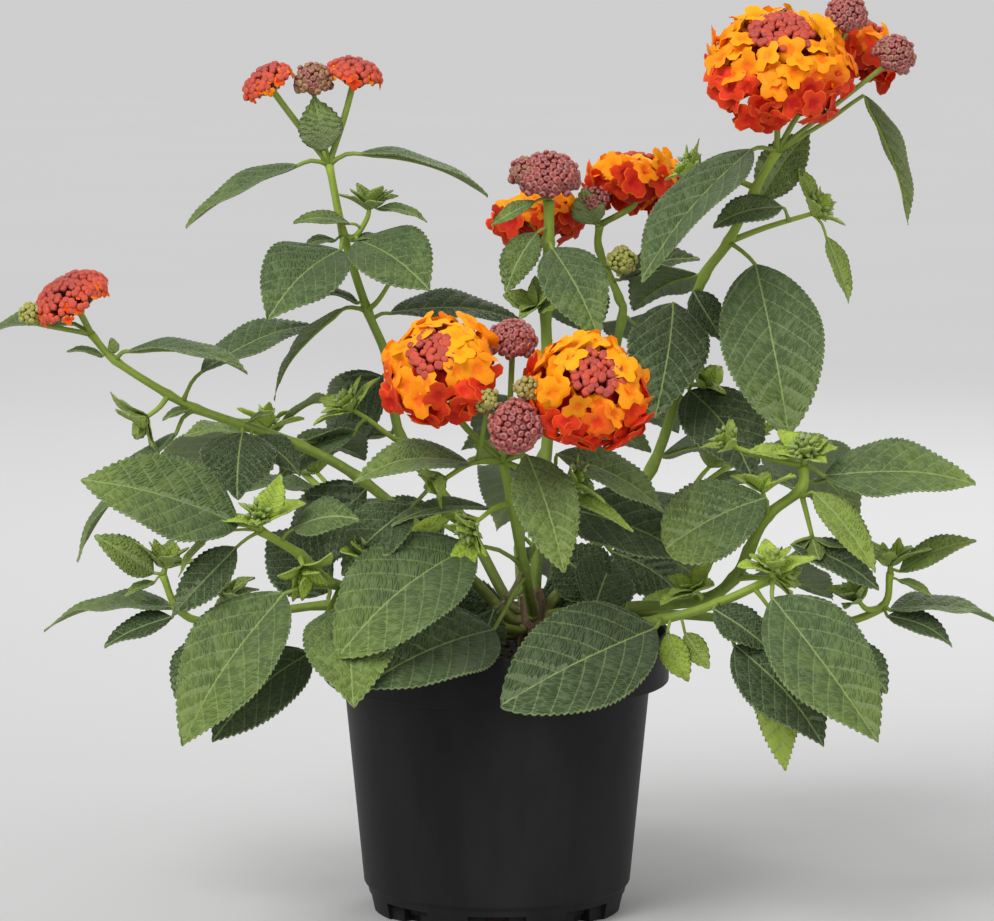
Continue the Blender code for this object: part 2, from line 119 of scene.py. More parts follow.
# Main leaves: stem, point of it, foot of the blade, tip, width, the way the upper side faces, rise of the
# midrib as a share of the length, and age from 0, old and dark, to 1, young and yellow green; a low age
# also paints shade on a leaf in shade, as on the rim leaf
LEAVES = {
    "tall_left_top_left_leaf": ("tall_left_stem", 6, (-69, 7, 259), (-107, -4, 239), 22, (0, -0.12, 1),
                                0.06, 0.4),
    "tall_left_top_right_leaf": ("tall_left_stem", 6, (-47, 8, 263), (-3, 4, 249), 22, (0, -0.05, 1),
                                 0.08, 0.4),
    "tall_left_middle_leaf": ("tall_left_stem", 5, (-54, 2, 230), (-78, -24, 209), 30, (-0.3, -1, 0.8),
                              0.1, 0.32),
    "tall_left_low_leaf": ("tall_left_stem", 4, (-54, 8, 209), (-79, -6, 181), 20, (-1, 0.1, 0.7), 0.06,
                           0.35),
    "left_top_leaf": ("left_stem", 7, (-125, -24, 198), (-84, -34, 194), 20, (0, -0.1, 1), 0.07, 0.36),
    "left_outer_leaf": ("left_stem", 8, (-149, -12, 206), (-177, 6, 201), 20, (0, -0.3, 1), 0.08, 0.4),
    "left_hanging_leaf": ("left_stem", 5, (-110, -18, 169), (-145, -24, 127), 20, (-1, -0.3, 0.6), 0.05,
                          0.4),
    "low_left_upper_leaf": ("low_left_stem", 4, (-85, -76, 146), (-135, -88, 163), 29, (0, -1, 0.7),
                            0.08, 0.42),
    "low_left_front_leaf": ("low_left_stem", 2, (-70, -76, 123), (-104, -92, 76), 33, (-0.4, -1, 0.5),
                            0.1, 0.44),
    "low_left_hanging_leaf": ("low_left_stem", 2, (-50, -69, 118), (-47, -96, 89), 30, (0, -1, 0.4),
                              0.08, 0.46),
    "front_left_leaf": ("front_stem", 1, (-8, -58, 136), (-52, -90, 106), 36, (-0.2, -1, 0.6), 0.1, 0.38),
    "front_long_leaf": ("front_stem", 3, (-9, -68, 165), (-47, -80, 162), 18, (0, -0.5, 1), 0.1, 0.45),
    "front_centre_leaf": ("front_stem", 3, (10, -71, 168), (22, -88, 132), 21, (0.1, -1, 0.35), 0.1, 0.46),
    "front_right_leaf": ("front_stem", 1, (22, -44, 147), (67, -54, 131), 26, (0.2, -1, 0.9), 0.06, 0.1),
    # The rim leaf's low age is partly painted shade, darker than its age alone would make it.
    "rim_leaf": ("right_front_stem", 2, (53, -62, 109), (2, -92, 90), 36, (-0.1, -1, 0.5), 0.1, 0.1),
    "right_front_leaf": ("right_front_stem", 4, (91, -74, 121), (125, -94, 77), 34, (0.3, -1, 0.4), 0.1,
                         0.4),
    "centre_leaf": ("centre_stem", 4, (19, 9, 230), (35, -12, 202), 23, (0.2, -1, 0.3), 0.1, 0.38),
    "upper_right_inner_leaf": ("upper_right_stem", 4, (61, 8, 211), (54, -12, 174), 28, (-0.1, -1, 0.3),
                               0.1, 0.08),
    "upper_right_long_leaf": ("upper_right_stem", 8, (87, -4, 265), (48, -32, 223), 30, (-0.4, -0.4, 1),
                              0.06, 0.3),
    "upper_right_arched_leaf": ("upper_right_stem", 8, (126, 3, 283), (143, 8, 239), 22, (1, 0.3, 0.3),
                                0.06, 0.45),
    "upper_right_big_leaf": ("upper_right_stem", 6, (89, 2, 225), (99, -28, 171), 35, (0, -1, 0.25),
                             0.08, 0.36),
    "right_outer_leaf": ("right_stem", 7, (110, -46, 158), (160, -52, 158), 26, (0, -0.8, 1), 0.03, 0.42),
    "right_round_leaf": ("right_stem", 5, (90, -50, 151), (56, -64, 136), 27, (0, -1, 0.5), 0.06, 0.4),
    "far_right_leaf": ("far_right_stem", 4, (134, -30, 110), (173, -24, 106), 22, (0, -0.15, 1), 0.06, 0.42),
    "far_left_leaf": ("far_left_stem", 4, (-111, -26, 110), (-156, -20, 104), 22, (0, -0.15, 1), 0.06, 0.42),
    "back_left_low_leaf": ("back_left_stem", 3, (-90, 102, 152), (-128, 122, 124), 32, (-0.3, 1, 0.8),
                           0.12, 0.4),
    "back_left_inner_leaf": ("back_left_stem", 2, (-57, 83, 130), (-48, 126, 104), 31, (0.1, 1, 0.7),
                             0.14, 0.32),
    "back_right_low_leaf": ("back_right_stem", 3, (100, 103, 148), (136, 124, 120), 32, (0.3, 1, 0.8),
                            0.12, 0.4),
    "back_right_inner_leaf": ("back_right_stem", 2, (69, 85, 132), (58, 130, 104), 31, (-0.1, 1, 0.7),
                              0.14, 0.3),
    "back_leaf": ("back_stem", 2, (9, 81, 142), (0, 128, 116), 30, (0, 1, 0.8), 0.14, 0.36),
}
BLUNT_LEAVES = {"right_round_leaf": 0.5, "front_left_leaf": 0.75, "rim_leaf": 0.75,
                "upper_right_big_leaf": 0.8}

# Flower heads: kind, stem, point of it, points of the stalk, foot of the head, the way it faces, radius and
# height
HEADS = {
    "tall_left_outer_flower_head": ("half", "tall_left_stem", 6, ((-68, 8, 272),), (-76, 6, 283),
                                    (-0.55, -0.1, 0.85), 10, 12),
    "tall_left_inner_flower_head": ("half", "tall_left_stem", 6, ((-53, 11, 274),), (-50, 12, 285),
                                    (0.2, -0.1, 1), 10.5, 12),
    "left_flower_head": ("half", "left_stem", 8, (), (-141, -20, 209), (-0.45, -0.25, 0.85), 14, 18),
    "front_left_flower_head": ("open", "front_stem", 3, ((-12, -68, 179),), (-16, -74, 191),
                               (-0.25, -0.75, 0.6), 18.5, 25),
    "front_right_flower_head": ("open", "front_stem", 3, ((15, -66, 176),), (27, -73, 183),
                                (0.2, -0.75, 0.6), 20, 27),
    "front_upper_bud_head": ("bud", "front_stem", 3, ((4, -62, 180),), (5, -62, 200), (0, -0.25, 1), 8, 12),
    "front_lower_bud_head": ("bud", "front_stem", 3, ((3, -75, 173),), (6, -90, 179), (0, -0.9, 0.35),
                             8.5, 10),
    "centre_bud_head": ("bud", "centre_stem", 5, (), (18, 16, 247.5), (0, -0.25, 1), 10.3, 15),
    "centre_back_flower_head": ("open", "centre_stem", 4, ((17, 34, 232),), (16, 42, 230),
                                (-0.1, 0.35, 0.8), 15, 18),
    "centre_right_flower_head": ("open", "centre_right_stem", 6, (), (48, 34, 243), (0.05, 0.35, 0.93),
                                 17, 19),
    "upper_right_main_flower_head": ("open", "upper_right_stem", 8, (), (96, -2, 281), (0, -0.5, 0.85),
                                     25, 33),
    "upper_right_side_flower_head": ("open", "upper_right_stem", 8, ((106, 14, 278),), (122, 21, 291),
                                     (0.4, 0.35, 0.85), 15, 19),
    "back_flower_head": ("open", "back_stem", 3, ((24, 96, 164),), (27, 98, 168), (0.1, 0.8, 0.6), 16, 19),
}

# Shoots: for each stem the point of it, points of the shoot from there, number of young leaves, number of
# green buds, and age
SHOOTS = {
    "tall_left_stem": (
        (5, ((4, -2, 0), (8, -3, 6), (9, -3, 10)), 10, 0, 0.7),
        (4, ((4, -4, 4), (9, -6, 12)), 6, 10, 0.95),
        (2, ((-3, -8, 2), (-11, -14, 9), (-17, -16, 13)), 12, 10, 0.95),
    ),
    "left_stem": (
        (6, ((-3, -2, -4), (-7, -4, -7)), 10, 0, 0.75),
    ),
    "low_left_stem": (
        (4, ((0, -2, 3),), 8, 16, 1.0),
        (3, ((0, -3, -1), (1, -5, -3)), 8, 0, 0.95),
        (2, ((4, -5, 5), (8, -8, 10)), 10, 8, 0.95),
    ),
    "far_left_stem": (
        (5, ((1, 0, 3),), 8, 0, 0.7),
        (3, ((2, -3, 5), (4, -4, 9)), 8, 0, 0.6),
    ),
    "front_stem": (
        (2, ((-6, -6, -1), (-12, -10, -5)), 8, 18, 1.0),
        (3, ((10, -4, -3), (22, -6, -6)), 7, 8, 0.95),
        (3, ((-10, -2, 0), (-19, -4, -5)), 6, 4, 0.95),
    ),
    "centre_stem": (
        (3, ((-3, -4, 1),), 8, 0, 0.7),
    ),
    "upper_right_stem": (
        (7, ((-8, 4, 3), (-20, 6, 5)), 8, 14, 1.0),
        (6, ((13, 0, 5), (29, -2, 10)), 8, 22, 1.0),
        (3, ((3, -4, -1), (6, -6, -1)), 7, 0, 0.95),
    ),
    "right_stem": (
        (7, ((0, -2, 3),), 8, 26, 1.0),
        (7, ((-12, -3, 3), (-24, -4, 7)), 6, 8, 0.85),
        (3, ((6, -4, 1), (12, -6, 1)), 12, 8, 1.0),
        (2, ((0, -4, 2), (-2, -6, 4)), 10, 0, 1.0),
        (5, ((-1, -3, 5), (-2, -4, 9)), 6, 0, 1.0),
        (6, ((2, -2, -8), (4, -3, -16)), 8, 0, 0.55),
    ),
    "far_right_stem": (
        (5, ((0, 0, 3),), 8, 0, 0.75),
        (4, ((-5, -3, 0), (-8, -4, 3)), 8, 0, 0.7),
    ),
    "right_front_stem": (
        (4, ((0, -2, 3),), 8, 10, 1.0),
    ),
    "back_left_stem": (
        (3, ((-1, 2, 4),), 10, 12, 0.95),
        (2, ((-4, 5, 6), (-8, 8, 10)), 8, 0, 0.8),
    ),
    "back_right_stem": (
        (3, ((1, 2, 4),), 10, 12, 0.95),
        (2, ((4, 5, 6), (8, 8, 10)), 8, 0, 0.8),
    ),
    "back_stem": (
        (2, ((-6, 3, 5), (-12, 6, 8)), 10, 8, 0.9),
    ),
}

# Smaller leaves: for each stem the point of it, foot of the blade and tip from there, width, the way the
# upper side faces, and age
SMALL_LEAVES = {
    "tall_left_stem": (
        (6, (-2, -3, 5), (-5, -5, 23), 15, (0, -1, 0.1), 0.45),
        (5, (-3, -2, -1), (-14, -6, -3), 6, (0, -0.4, 1), 0.4),
        (5, (2, -2, -1), (16, -6, -1), 5, (0, -0.4, 1), 0.4),
        (5, (2, -4, 5), (-17, -8, 6), 8, (0, -0.5, 1), 0.45),
        (5, (12, -3, 10), (29, -6, 6), 7, (0, -0.4, 1), 0.45),
        (4, (-3, -2, 3), (-16, -6, 7), 7, (0, -0.4, 1), 0.3),
        (5, (5, -4, -1), (30, -28, -16), 28, (0.3, -1, 0.7), 0.38),
        (4, (8, 4, -1), (53, 22, -5), 18, (0, -0.5, 1), 0.12),
        (2, (-17, -14, 4), (-43, -20, -10), 15, (0, -0.6, 1), 0.35),
        (3, (4, 6, 2), (32, 30, -4), 22, (0.2, 0.7, 1), 0.3),
        (2, (-4, 8, 2), (-30, 34, -10), 24, (-0.4, 0.8, 1), 0.25),
        (1, (-6, 2, 0), (-36, 10, -14), 26, (0, -1, 0.3), 0.05),
        (3, (-2, 8, -6), (-22, 26, -30), 24, (-0.2, -1, 0.3), 0.08),
    ),
    "left_stem": (
        (7, (-4, -2, 2), (-16, -4, 4), 5, (0, -0.4, 1), 0.45),
        (7, (0, -1, 3), (-1, -3, 8), 4, (0, -1, 0.2), 0.6),
        (5, (-2, -2, 0), (-11, -5, -3), 5, (0, -0.4, 1), 0.45),
        (4, (2, -2, 2), (10, -5, 5), 4, (0, -0.4, 1), 0.5),
        (4, (3, -3, -4), (20, -8, -16), 13, (0, -0.6, 1), 0.1),
        (5, (2, -1, 13), (40, 20, 28), 18, (0, -0.35, 1), 0.3),
        (4, (0, -4, -2), (-1, -20, -22), 26, (0, -1, 0.2), 0.08),
        (3, (2, 5, 1), (22, 30, -8), 24, (0.2, 0.8, 1), 0.28),
        (2, (2, 6, -4), (-26, 22, -30), 26, (-0.2, -1, 0.4), 0.06),
        (1, (-4, 6, 2), (-30, 20, -12), 26, (-0.2, -1, 0.5), 0.05),
    ),
    "low_left_stem": (
        (1, (0, 8, 6), (-14, 30, 24), 24, (0.2, -1, 0.4), 0.08),
        (4, (1, -3, 5), (7, -8, 20), 8, (0, -1, 0.1), 0.95),
        (3, (-2, -5, 10), (19, -14, 15), 15, (0, -0.8, 0.8), 0.4),
        (4, (-18, -4, -2), (-27, -6, -14), 6, (-1, -0.4, 0.4), 0.7),
        (4, (-8, -2, -5), (-29, -8, -26), 14, (0, -1, 0.6), 0.18),
        (2, (-10, -6, -21), (-42, -22, -48), 24, (-0.4, -1, 0.3), 0.1),
    ),
    "far_left_stem": (
        (5, (-3, -1, 1), (-22, -6, 15), 12, (0.2, -1, 0.6), 0.55),
        (5, (-3, -1, -2), (-13, -4, -6), 5, (0, -0.4, 1), 0.6),
        (5, (1, -2, 3), (5, -4, 12), 5, (0, -1, 0.2), 0.75),
        (5, (-1, 1, 3), (-3, 3, 12), 5, (0, 1, 0.2), 0.75),
        (4, (-2, -4, -2), (-25, -8, -11), 12, (0, -0.6, 1), 0.12),
        (3, (-3, -6, -5), (-13, -12, -24), 13, (-0.2, -1, 0.4), 0.35),
        (3, (2, -4, 3), (6, -6, 12), 6, (0, -1, 0.2), 0.5),
        (2, (0, 6, 4), (-22, 22, 22), 24, (-0.2, -1, 0.3), 0.07),
    ),
    "far_right_stem": (
        (5, (3, -1, 1), (28, -6, 13), 11, (0, -0.8, 1), 0.55),
        (5, (3, -1, -2), (14, -4, -7), 5, (0, -0.4, 1), 0.6),
        (5, (-1, -2, 3), (-3, -4, 11), 5, (0, -1, 0.2), 0.75),
        (5, (2, 1, 3), (3, 2, 12), 5, (0, 1, 0.2), 0.75),
        (4, (2, -4, -2), (24, -8, -11), 12, (0, -0.6, 1), 0.14),
        (3, (8, -5, -5), (22, -10, -21), 13, (0.2, -1, 0.4), 0.3),
    ),
    "right_stem": (
        (4, (14, -6, 3), (43, -12, -11), 14, (0, -0.7, 1), 0.16),
        (7, (3, -6, -8), (23, -18, -33), 13, (0.4, -1, 0.4), 0.64),
        (7, (-3, -3, 4), (-19, -6, 6), 8, (0, -0.6, 1), 0.75),
        (7, (4, -3, 5), (11, -5, 7), 5, (0, -0.6, 1), 0.8),
        (2, (-3, -6, 3), (-20, -10, 2), 6, (0, -0.6, 1), 0.7),
        (6, (4, 4, 2), (38, 30, -2), 24, (0.2, 0.7, 1), 0.32),
        (3, (6, 6, 0), (36, 34, -12), 26, (0.3, 0.8, 1), 0.26),
        (1, (-4, 4, 4), (-22, 14, 18), 22, (0, -1, 0.3), 0.06),
    ),
    "front_stem": (
        (2, (-8, -3, -1), (-40, -12, -4), 9, (0, -0.4, 1), 0.35),
        (2, (-20, 4, -4), (-42, 2, -19), 8, (0, -0.8, 1), 0.95),
        (2, (-12, -6, -9), (-21, -10, -27), 9, (-0.3, -1, 0.3), 0.95),
        (3, (20, -3, -10), (43, -8, -22), 6, (0, -0.7, 1), 0.75),
        (3, (18, -2, 3), (54, 2, -16), 18, (0, -0.6, 1), 0.42),
        (1, (-10, 8, -16), (-15, 4, -39), 14, (0, -1, 0.2), 0.08),
        (1, (-10, -10, -20), (-54, -54, -31), 32, (-0.2, -1, 0.6), 0.2),
        (2, (-33, -6, 0), (-57, -10, -22), 20, (-0.6, -1, 0.2), 0.16),
    ),
    "centre_stem": (
        (5, (-5, -2, 0), (-20, -6, -8), 7, (0, -0.6, 1), 0.5),
        (4, (-4, -4, 4), (-15, -10, -16), 13, (-0.3, -1, 0.3), 0.45),
        (3, (3, 6, 2), (16, 36, -12), 26, (0.1, 1, 0.8), 0.3),
        (2, (-4, 8, 4), (-26, 36, -8), 28, (-0.4, 1, 0.8), 0.24),
    ),
    "centre_right_stem": (
        (4, (0, -4, 7), (28, -8, 15), 15, (0, -0.5, 1), 0.12),
        (6, (-2, -5, 1), (-6, -8, 13), 12, (-0.2, -1, 0.2), 0.5),
        (3, (3, 8, 0), (20, 40, -16), 30, (0.2, 1, 0.7), 0.3),
        (2, (4, 10, 2), (30, 44, -8), 30, (0.4, 1, 0.8), 0.22),
        (0, (4, 2, -2), (30, 8, -8), 22, (0.1, -1, 0.4), 0.05),
    ),
    "upper_right_stem": (
        (7, (2, 5, -4), (19, 10, 19), 16, (0, -1, 0.3), 0.45),
        (7, (9, -5, -6), (-15, -9, -12), 13, (0, -0.7, 0.8), 0.38),
        (5, (-4, -4, -5), (6, -10, -21), 12, (0.2, -1, 0.3), 0.06),
        (3, (10, 2, -8), (26, -2, -15), 6, (0, -0.6, 1), 0.2),
        (3, (2, -3, -7), (15, -8, -19), 8, (0.3, -1, 0.5), 0.15),
        (3, (3, -5, -3), (24, -28, -31), 28, (0.2, -1, 0.5), 0.06),
        (6, (34, -3, 2), (42, -8, -20), 9, (0.8, -1, 0.3), 0.62),
        (6, (30, -2, 14), (24, -3, 26), 6, (0.4, -1, 0.2), 0.7),
        (5, (-2, 6, 0), (-24, 30, -14), 26, (-0.4, 1, 0.7), 0.3),
        (2, (4, 8, 4), (36, 34, 0), 26, (0.4, 1, 0.8), 0.26),
        (1, (4, -2, -4), (28, -6, -18), 22, (0, -1, 0.4), 0.05),
    ),
    "right_front_stem": (
        (3, (-2, -6, -1), (16, -12, -13), 14, (0.2, -1, 0.6), 0.12),
        (2, (2, -4, -4), (9, -9, -19), 10, (0, -1, 0.3), 0.8),
        (2, (8, -3, -4), (16, -7, -15), 8, (0, -1, 0.3), 0.7),
        (4, (6, 6, -18), (5, -2, -64), 17, (-0.2, -1, 0.3), 0.8),
        (3, (5, -8, -13), (34, -24, -43), 26, (0.3, -1, 0.4), 0.1),
        (1, (-2, 6, 4), (6, 26, 20), 22, (0.2, -1, 0.3), 0.06),
    ),
    "back_left_stem": (
        (1, (-4, 8, 2), (-30, 24, -12), 26, (-0.5, 0.8, 0.8), 0.26),
        (2, (-6, -2, 4), (-38, -10, 6), 22, (-0.3, -0.2, 1), 0.36),
        (3, (2, 4, 3), (22, 20, 14), 16, (0.2, 0.6, 0.9), 0.55),
        (3, (-6, -3, 2), (-30, -14, 4), 15, (-0.3, -0.3, 1), 0.5),
    ),
    "back_right_stem": (
        (1, (4, 8, 2), (32, 24, -12), 26, (0.5, 0.8, 0.8), 0.26),
        (2, (6, -2, 4), (38, -10, 6), 22, (0.3, -0.2, 1), 0.36),
        (3, (-2, 4, 3), (-20, 20, 14), 16, (-0.2, 0.6, 0.9), 0.55),
        (3, (6, -3, 2), (30, -14, 4), 15, (0.3, -0.3, 1), 0.5),
    ),
    "back_stem": (
        (1, (5, 6, 0), (22, 30, -20), 26, (0.4, 1, 0.6), 0.24),
        (0, (4, -2, 4), (34, 10, 10), 26, (0, -1, 0.4), 0.04),
        (0, (-6, -2, 2), (-38, 8, 6), 26, (0, -1, 0.4), 0.04),
        (3, (6, 3, -2), (36, 14, -8), 20, (0.3, 0.8, 0.8), 0.4),
        (3, (-6, 3, -2), (-34, 16, -8), 20, (-0.3, 0.8, 0.8), 0.4),
    ),
}

# Small heads of buds: for each stem the point of it, foot of the head from there, the way it faces, radius,
# height, and hue from 0, green, to 1, mauve
SMALL_HEADS = {
    "tall_left_stem": (
        (6, (-5, -2, 24), (0, -0.2, 1), 6.3, 11, 0.75),
    ),
    "left_stem": (
        (8, (-19, -2, 4), (-0.2, -0.3, 1), 4.2, 7, 0.1),
    ),
    "front_stem": (
        (3, (-5, -26, 22), (-0.2, -0.7, 0.7), 4, 6, 0.25),
        (3, (7, -24, 25), (0.2, -0.6, 0.8), 4.2, 6, 0.4),
    ),
    "centre_stem": (
        (5, (-7, -1, 6), (-0.2, -0.4, 1), 6, 9, 0.85),
    ),
    "centre_right_stem": (
        (6, (7, -6, -13), (0.2, -0.9, 0.4), 5, 7, 0.15),
        (6, (-2, -3, 7), (-0.1, -0.5, 1), 5, 7, 0.9),
    ),
    "upper_right_stem": (
        (8, (23, -4, 41), (0, -0.3, 1), 7, 12, 0.95),
        (8, (36, -2, 29), (0.6, -0.3, 0.7), 7, 12, 0.9),
    ),
}

# The dried flower that stayed on the front stem, from the point of the stem
DRIED_STEM = "front_stem"
DRIED_POINT = 1
DRIED_FOOT = (-6, -2, -11)
DRIED_AXIS = (0.2, -0.8, -0.5)
DRIED_SPOKES = 9
DRIED_RADIUS = 0.7
SPOKE_RADII = (0.5, 0.42, 0.36, 0.34, 0.34, 0.5, 0.6)

LEAF_FOLD = 0.16  # rise of the leaf's edges over its midrib, as a share of the half width
BLADE_RISE = 0.74  # powers that shape the blade's outline before and past its widest place
BLADE_FALL = 1.0
LEAST_HALF_WIDTH = 0.2
PETIOLE_RADIUS = 0.85
RIB_END_RADIUS = 0.22
RIB_END = 0.86  # share of the blade that the raised rib below it runs along
VEIN_SLOPE = 0.85  # mm that a side vein runs forward for each mm out
VEIN_CURVE = 0.022
SIDE_SHIFT = 0.3  # how far the right side's veins are ahead of the left side's, in veins
CURVE_PARTS = 6
GOLDEN_ANGLE = math.pi * (3 - math.sqrt(5))

# Flower heads: how much of the dome each floret or bud has, in mm2
FLORET_AREA = 42.0
BOSS_BUD_AREA = 4.6
CORAL_BUD_AREA = 5.0
BUD_SPREAD = 3.2  # for a bud of size 1; it grows with the square of the size
BUD_HUE = 0.62  # tone of the main bud heads, from 0, green, to 1, coral
BRACT_LEAN = 1.15  # angle between a bract and its head's axis, radians

# The photograph's frame and where it was taken from
PHOTO_WIDTH = 994
FOCAL_PIXELS = 4372
SENSOR = 36.0
CAMERA_PLACE = (0.0, -1.5, 0.354)
CAMERA_AIM = (0.0, 0.0, 0.157)


def colour_setting(name, description, default):
    return FloatVectorProperty(name=name, description=description, subtype="COLOR", size=3, default=default)


def length_setting(name, description, default):
    return FloatProperty(name=name, description=description, subtype="DISTANCE", unit="LENGTH",
                         default=default)


class PotLooks(bpy.types.PropertyGroup):
    """Sizes and colours of the pot and what fills it."""

    plastic: colour_setting("Plastic", "Colour of the pot's plastic", (0.019, 0.019, 0.0195))
    soil: colour_setting("Soil", "Colour of the damp potting mix", (0.022, 0.012, 0.007))
    bark: colour_setting("Bark", "Colour of the woody base", (0.17, 0.11, 0.06))
    turns: IntProperty(name="Steps round", description="Steps round the pot's turned body", default=144)
    crumbs: IntProperty(name="Crumbs", description="Lumps lying on the potting mix", default=420)


class LeafLooks(bpy.types.PropertyGroup):
    """Sizes and colours of the leaves and stems."""

    old: colour_setting("Old leaf", "Colour of old, shaded leaves", (0.024, 0.042, 0.012))
    grown: colour_setting("Grown leaf", "Colour of grown leaves", (0.072, 0.116, 0.038))
    young: colour_setting("Young leaf", "Colour of young leaves", (0.40, 0.54, 0.045))
    vein: colour_setting("Vein", "Colour of the midrib and veins", (0.27, 0.36, 0.14))
    below: colour_setting("Underside", "Colour of the leaf's underside", (0.17, 0.23, 0.10))
    stem: colour_setting("Stem", "Colour of the green stems", (0.22, 0.31, 0.045))
    thickness: length_setting("Thickness", "Thickness of a blade", 0.00045)
    tooth: length_setting("Tooth", "Length of a tooth along the margin", 0.0019)
    tooth_depth: length_setting("Tooth depth", "How far a tooth stands out", 0.0007)
    vein_pitch: length_setting("Vein pitch", "Distance between side veins on a big leaf", 0.0068)


class FlowerLooks(bpy.types.PropertyGroup):
    """Sizes and colours of the flowers."""

    newest: colour_setting("Newest", "Colour of a flower just opened", (0.95, 0.40, 0.003))
    gold: colour_setting("Gold", "Colour of a flower a day old", (0.95, 0.26, 0.002))
    scarlet: colour_setting("Scarlet", "Colour of an older flower", (0.82, 0.055, 0.008))
    oldest: colour_setting("Oldest", "Colour of the oldest flowers", (0.58, 0.014, 0.005))
    bud: colour_setting("Bud", "Colour of the closed buds", (0.27, 0.045, 0.05))
    coral: colour_setting("Coral", "Colour of buds about to open", (0.66, 0.085, 0.04))
    floret_radius: length_setting("Floret radius", "Radius of one open flower", 0.006)


class StageLooks(bpy.types.PropertyGroup):
    """The studio round the plant."""

    floor: colour_setting("Floor", "Colour of the floor", (0.565, 0.565, 0.565))
    key: FloatProperty(name="Key light", description="Strength of the main light", default=2.2)
    fill: FloatProperty(name="Fill light", description="Power of the softer light", unit="POWER",
                        default=3.0)
    rim: FloatProperty(name="Back light", description="Power of the light behind", unit="POWER",
                       default=4.0)
    sky: FloatProperty(name="Room light", description="Strength of the even light all round", default=0.62)


class Value:
    """A number in a finish that can be used in arithmetic."""

    def __init__(self, finish, socket):
        self.finish = finish
        self.socket = socket

    def maths(self, operation, *numbers):
        return self.finish.node("ShaderNodeMath", {"operation": operation}, dict(enumerate(numbers)))

    def __add__(self, other):
        return self.maths("ADD", self, other)

    def __sub__(self, other):
        return self.maths("SUBTRACT", self, other)

    def __rsub__(self, other):
        return self.maths("SUBTRACT", other, self)

    def __mul__(self, other):
        return self.maths("MULTIPLY", self, other)

    def __truediv__(self, other):
        return self.maths("DIVIDE", self, other)

    def __rtruediv__(self, other):
        return self.maths("DIVIDE", other, self)

    def __abs__(self):
        return self.maths("ABSOLUTE", self)

    __radd__ = __add__
    __rmul__ = __mul__

    def fraction(self):
        return self.maths("FRACT", self)

    def between(self, low, high):
        """0 at low and under, 1 at high and over, smooth between them."""
        return self.finish.node("ShaderNodeMapRange", {"interpolation_type": "SMOOTHSTEP"},
                                {"Value": self, "From Min": low, "From Max": high}, "Result")


class Finish:
    """A material under construction, with its Principled shader."""

    def __init__(self, name):
        self.material = bpy.data.materials.new(name)
        self.material.use_nodes = True
        self.tree = self.material.node_tree
        self.shader = self.tree.nodes["Principled BSDF"]

    def node(self, kind, settings=None, inputs=None, output=0):
        """Any node: its settings first, then the values or links of its sockets."""
        made = self.tree.nodes.new(kind)
        for name, setting in (settings or {}).items():
            if name == "stops":
                self.fill_ramp(made.color_ramp, setting)
            else:
                setattr(made, name, setting)
        for name, value in (inputs or {}).items():
            self.feed(made.inputs[name], value)
        return Value(self, made.outputs[output])

    def feed(self, socket, value):
        if isinstance(value, Value):
            self.tree.links.new(value.socket, socket)
        elif socket.type == "RGBA":
            socket.default_value = (*value[:3], 1.0)
        else:
            socket.default_value = value

    def fill_ramp(self, ramp, stops):
        first, *others, last = stops
        ramp.elements[0].position = first[0]
        ramp.elements[1].position = last[0]
        ramp.elements[0].color = (*first[1][:3], 1.0)
        ramp.elements[1].color = (*last[1][:3], 1.0)
        for place, colour in others:
            ramp.elements.new(place).color = (*colour[:3], 1.0)

    def attribute(self, name):
        return self.node("ShaderNodeAttribute", {"attribute_name": name}, output="Fac")

    def surface_map(self, name):
        """Both coordinates of a UV map and their vector."""
        vector = self.node("ShaderNodeUVMap", {"uv_map": name})
        parts = self.node("ShaderNodeSeparateXYZ", inputs={0: vector})
        across = Value(self, parts.socket.node.outputs[1])
        return vector, parts, across

    def object_space(self):
        return self.node("ShaderNodeTexCoord", output="Object")

    def stretched(self, vector, scale):
        return self.node("ShaderNodeVectorMath", {"operation": "MULTIPLY"}, {0: vector, 1: scale})

    def noise(self, vector, scale, detail=3.0, roughness=0.55):
        return self.node("ShaderNodeTexNoise", inputs={
            "Vector": vector, "Scale": scale, "Detail": detail, "Roughness": roughness})

    def ramp(self, value, stops):
        return self.node("ShaderNodeValToRGB", {"stops": stops}, {0: value})

    def mix(self, factor, first, second):
        return self.node("ShaderNodeMix", {"data_type": "RGBA", "clamp_factor": True},
                         {0: factor, 6: first, 7: second}, 2)

    def bump(self, height, distance, strength):
        return self.node("ShaderNodeBump", inputs={"Strength": strength, "Distance": distance,
                                                   "Height": height})

    def done(self, colour, roughness, normal=None, **constants):
        """The material, with what varies over it fed in and its constants set on their sockets."""
        self.feed(self.shader.inputs["Base Color"], colour)
        self.feed(self.shader.inputs["Roughness"], roughness)
        if normal is not None:
            self.feed(self.shader.inputs["Normal"], normal)
        for name, value in constants.items():
            self.shader.inputs[name.replace("_", " ")].default_value = value
        return self.material


def finish_once(name, make):
    """The finish of that name, made the first time it is asked for."""
    return bpy.data.materials.get(name) or make(name)


def vein_lines(beat, width):
    """1 on the side veins and 0 between them; width is a share of the way from one to the next."""
    off = abs(beat.fraction() - 0.5)
    return off.between(0.5 - width, 0.5)


def ladder_net(finish, beat, along, out):
    """Distance from the finest veins, which cross between the side veins like the rungs of a ladder."""
    forward = (along * VEIN_SLOPE + abs(out)) / math.hypot(VEIN_SLOPE, 1)
    place = finish.node("ShaderNodeCombineXYZ", inputs={0: beat * 1.4, 1: forward * 0.95})
    cells = {"Vector": place, "Scale": 1.0}
    return finish.node("ShaderNodeTexVoronoi", {"feature": "DISTANCE_TO_EDGE"}, cells, "Distance")


def colour_times(finish, colour, factor):
    return finish.node("ShaderNodeVectorMath", {"operation": "SCALE"}, {0: colour, "Scale": factor})


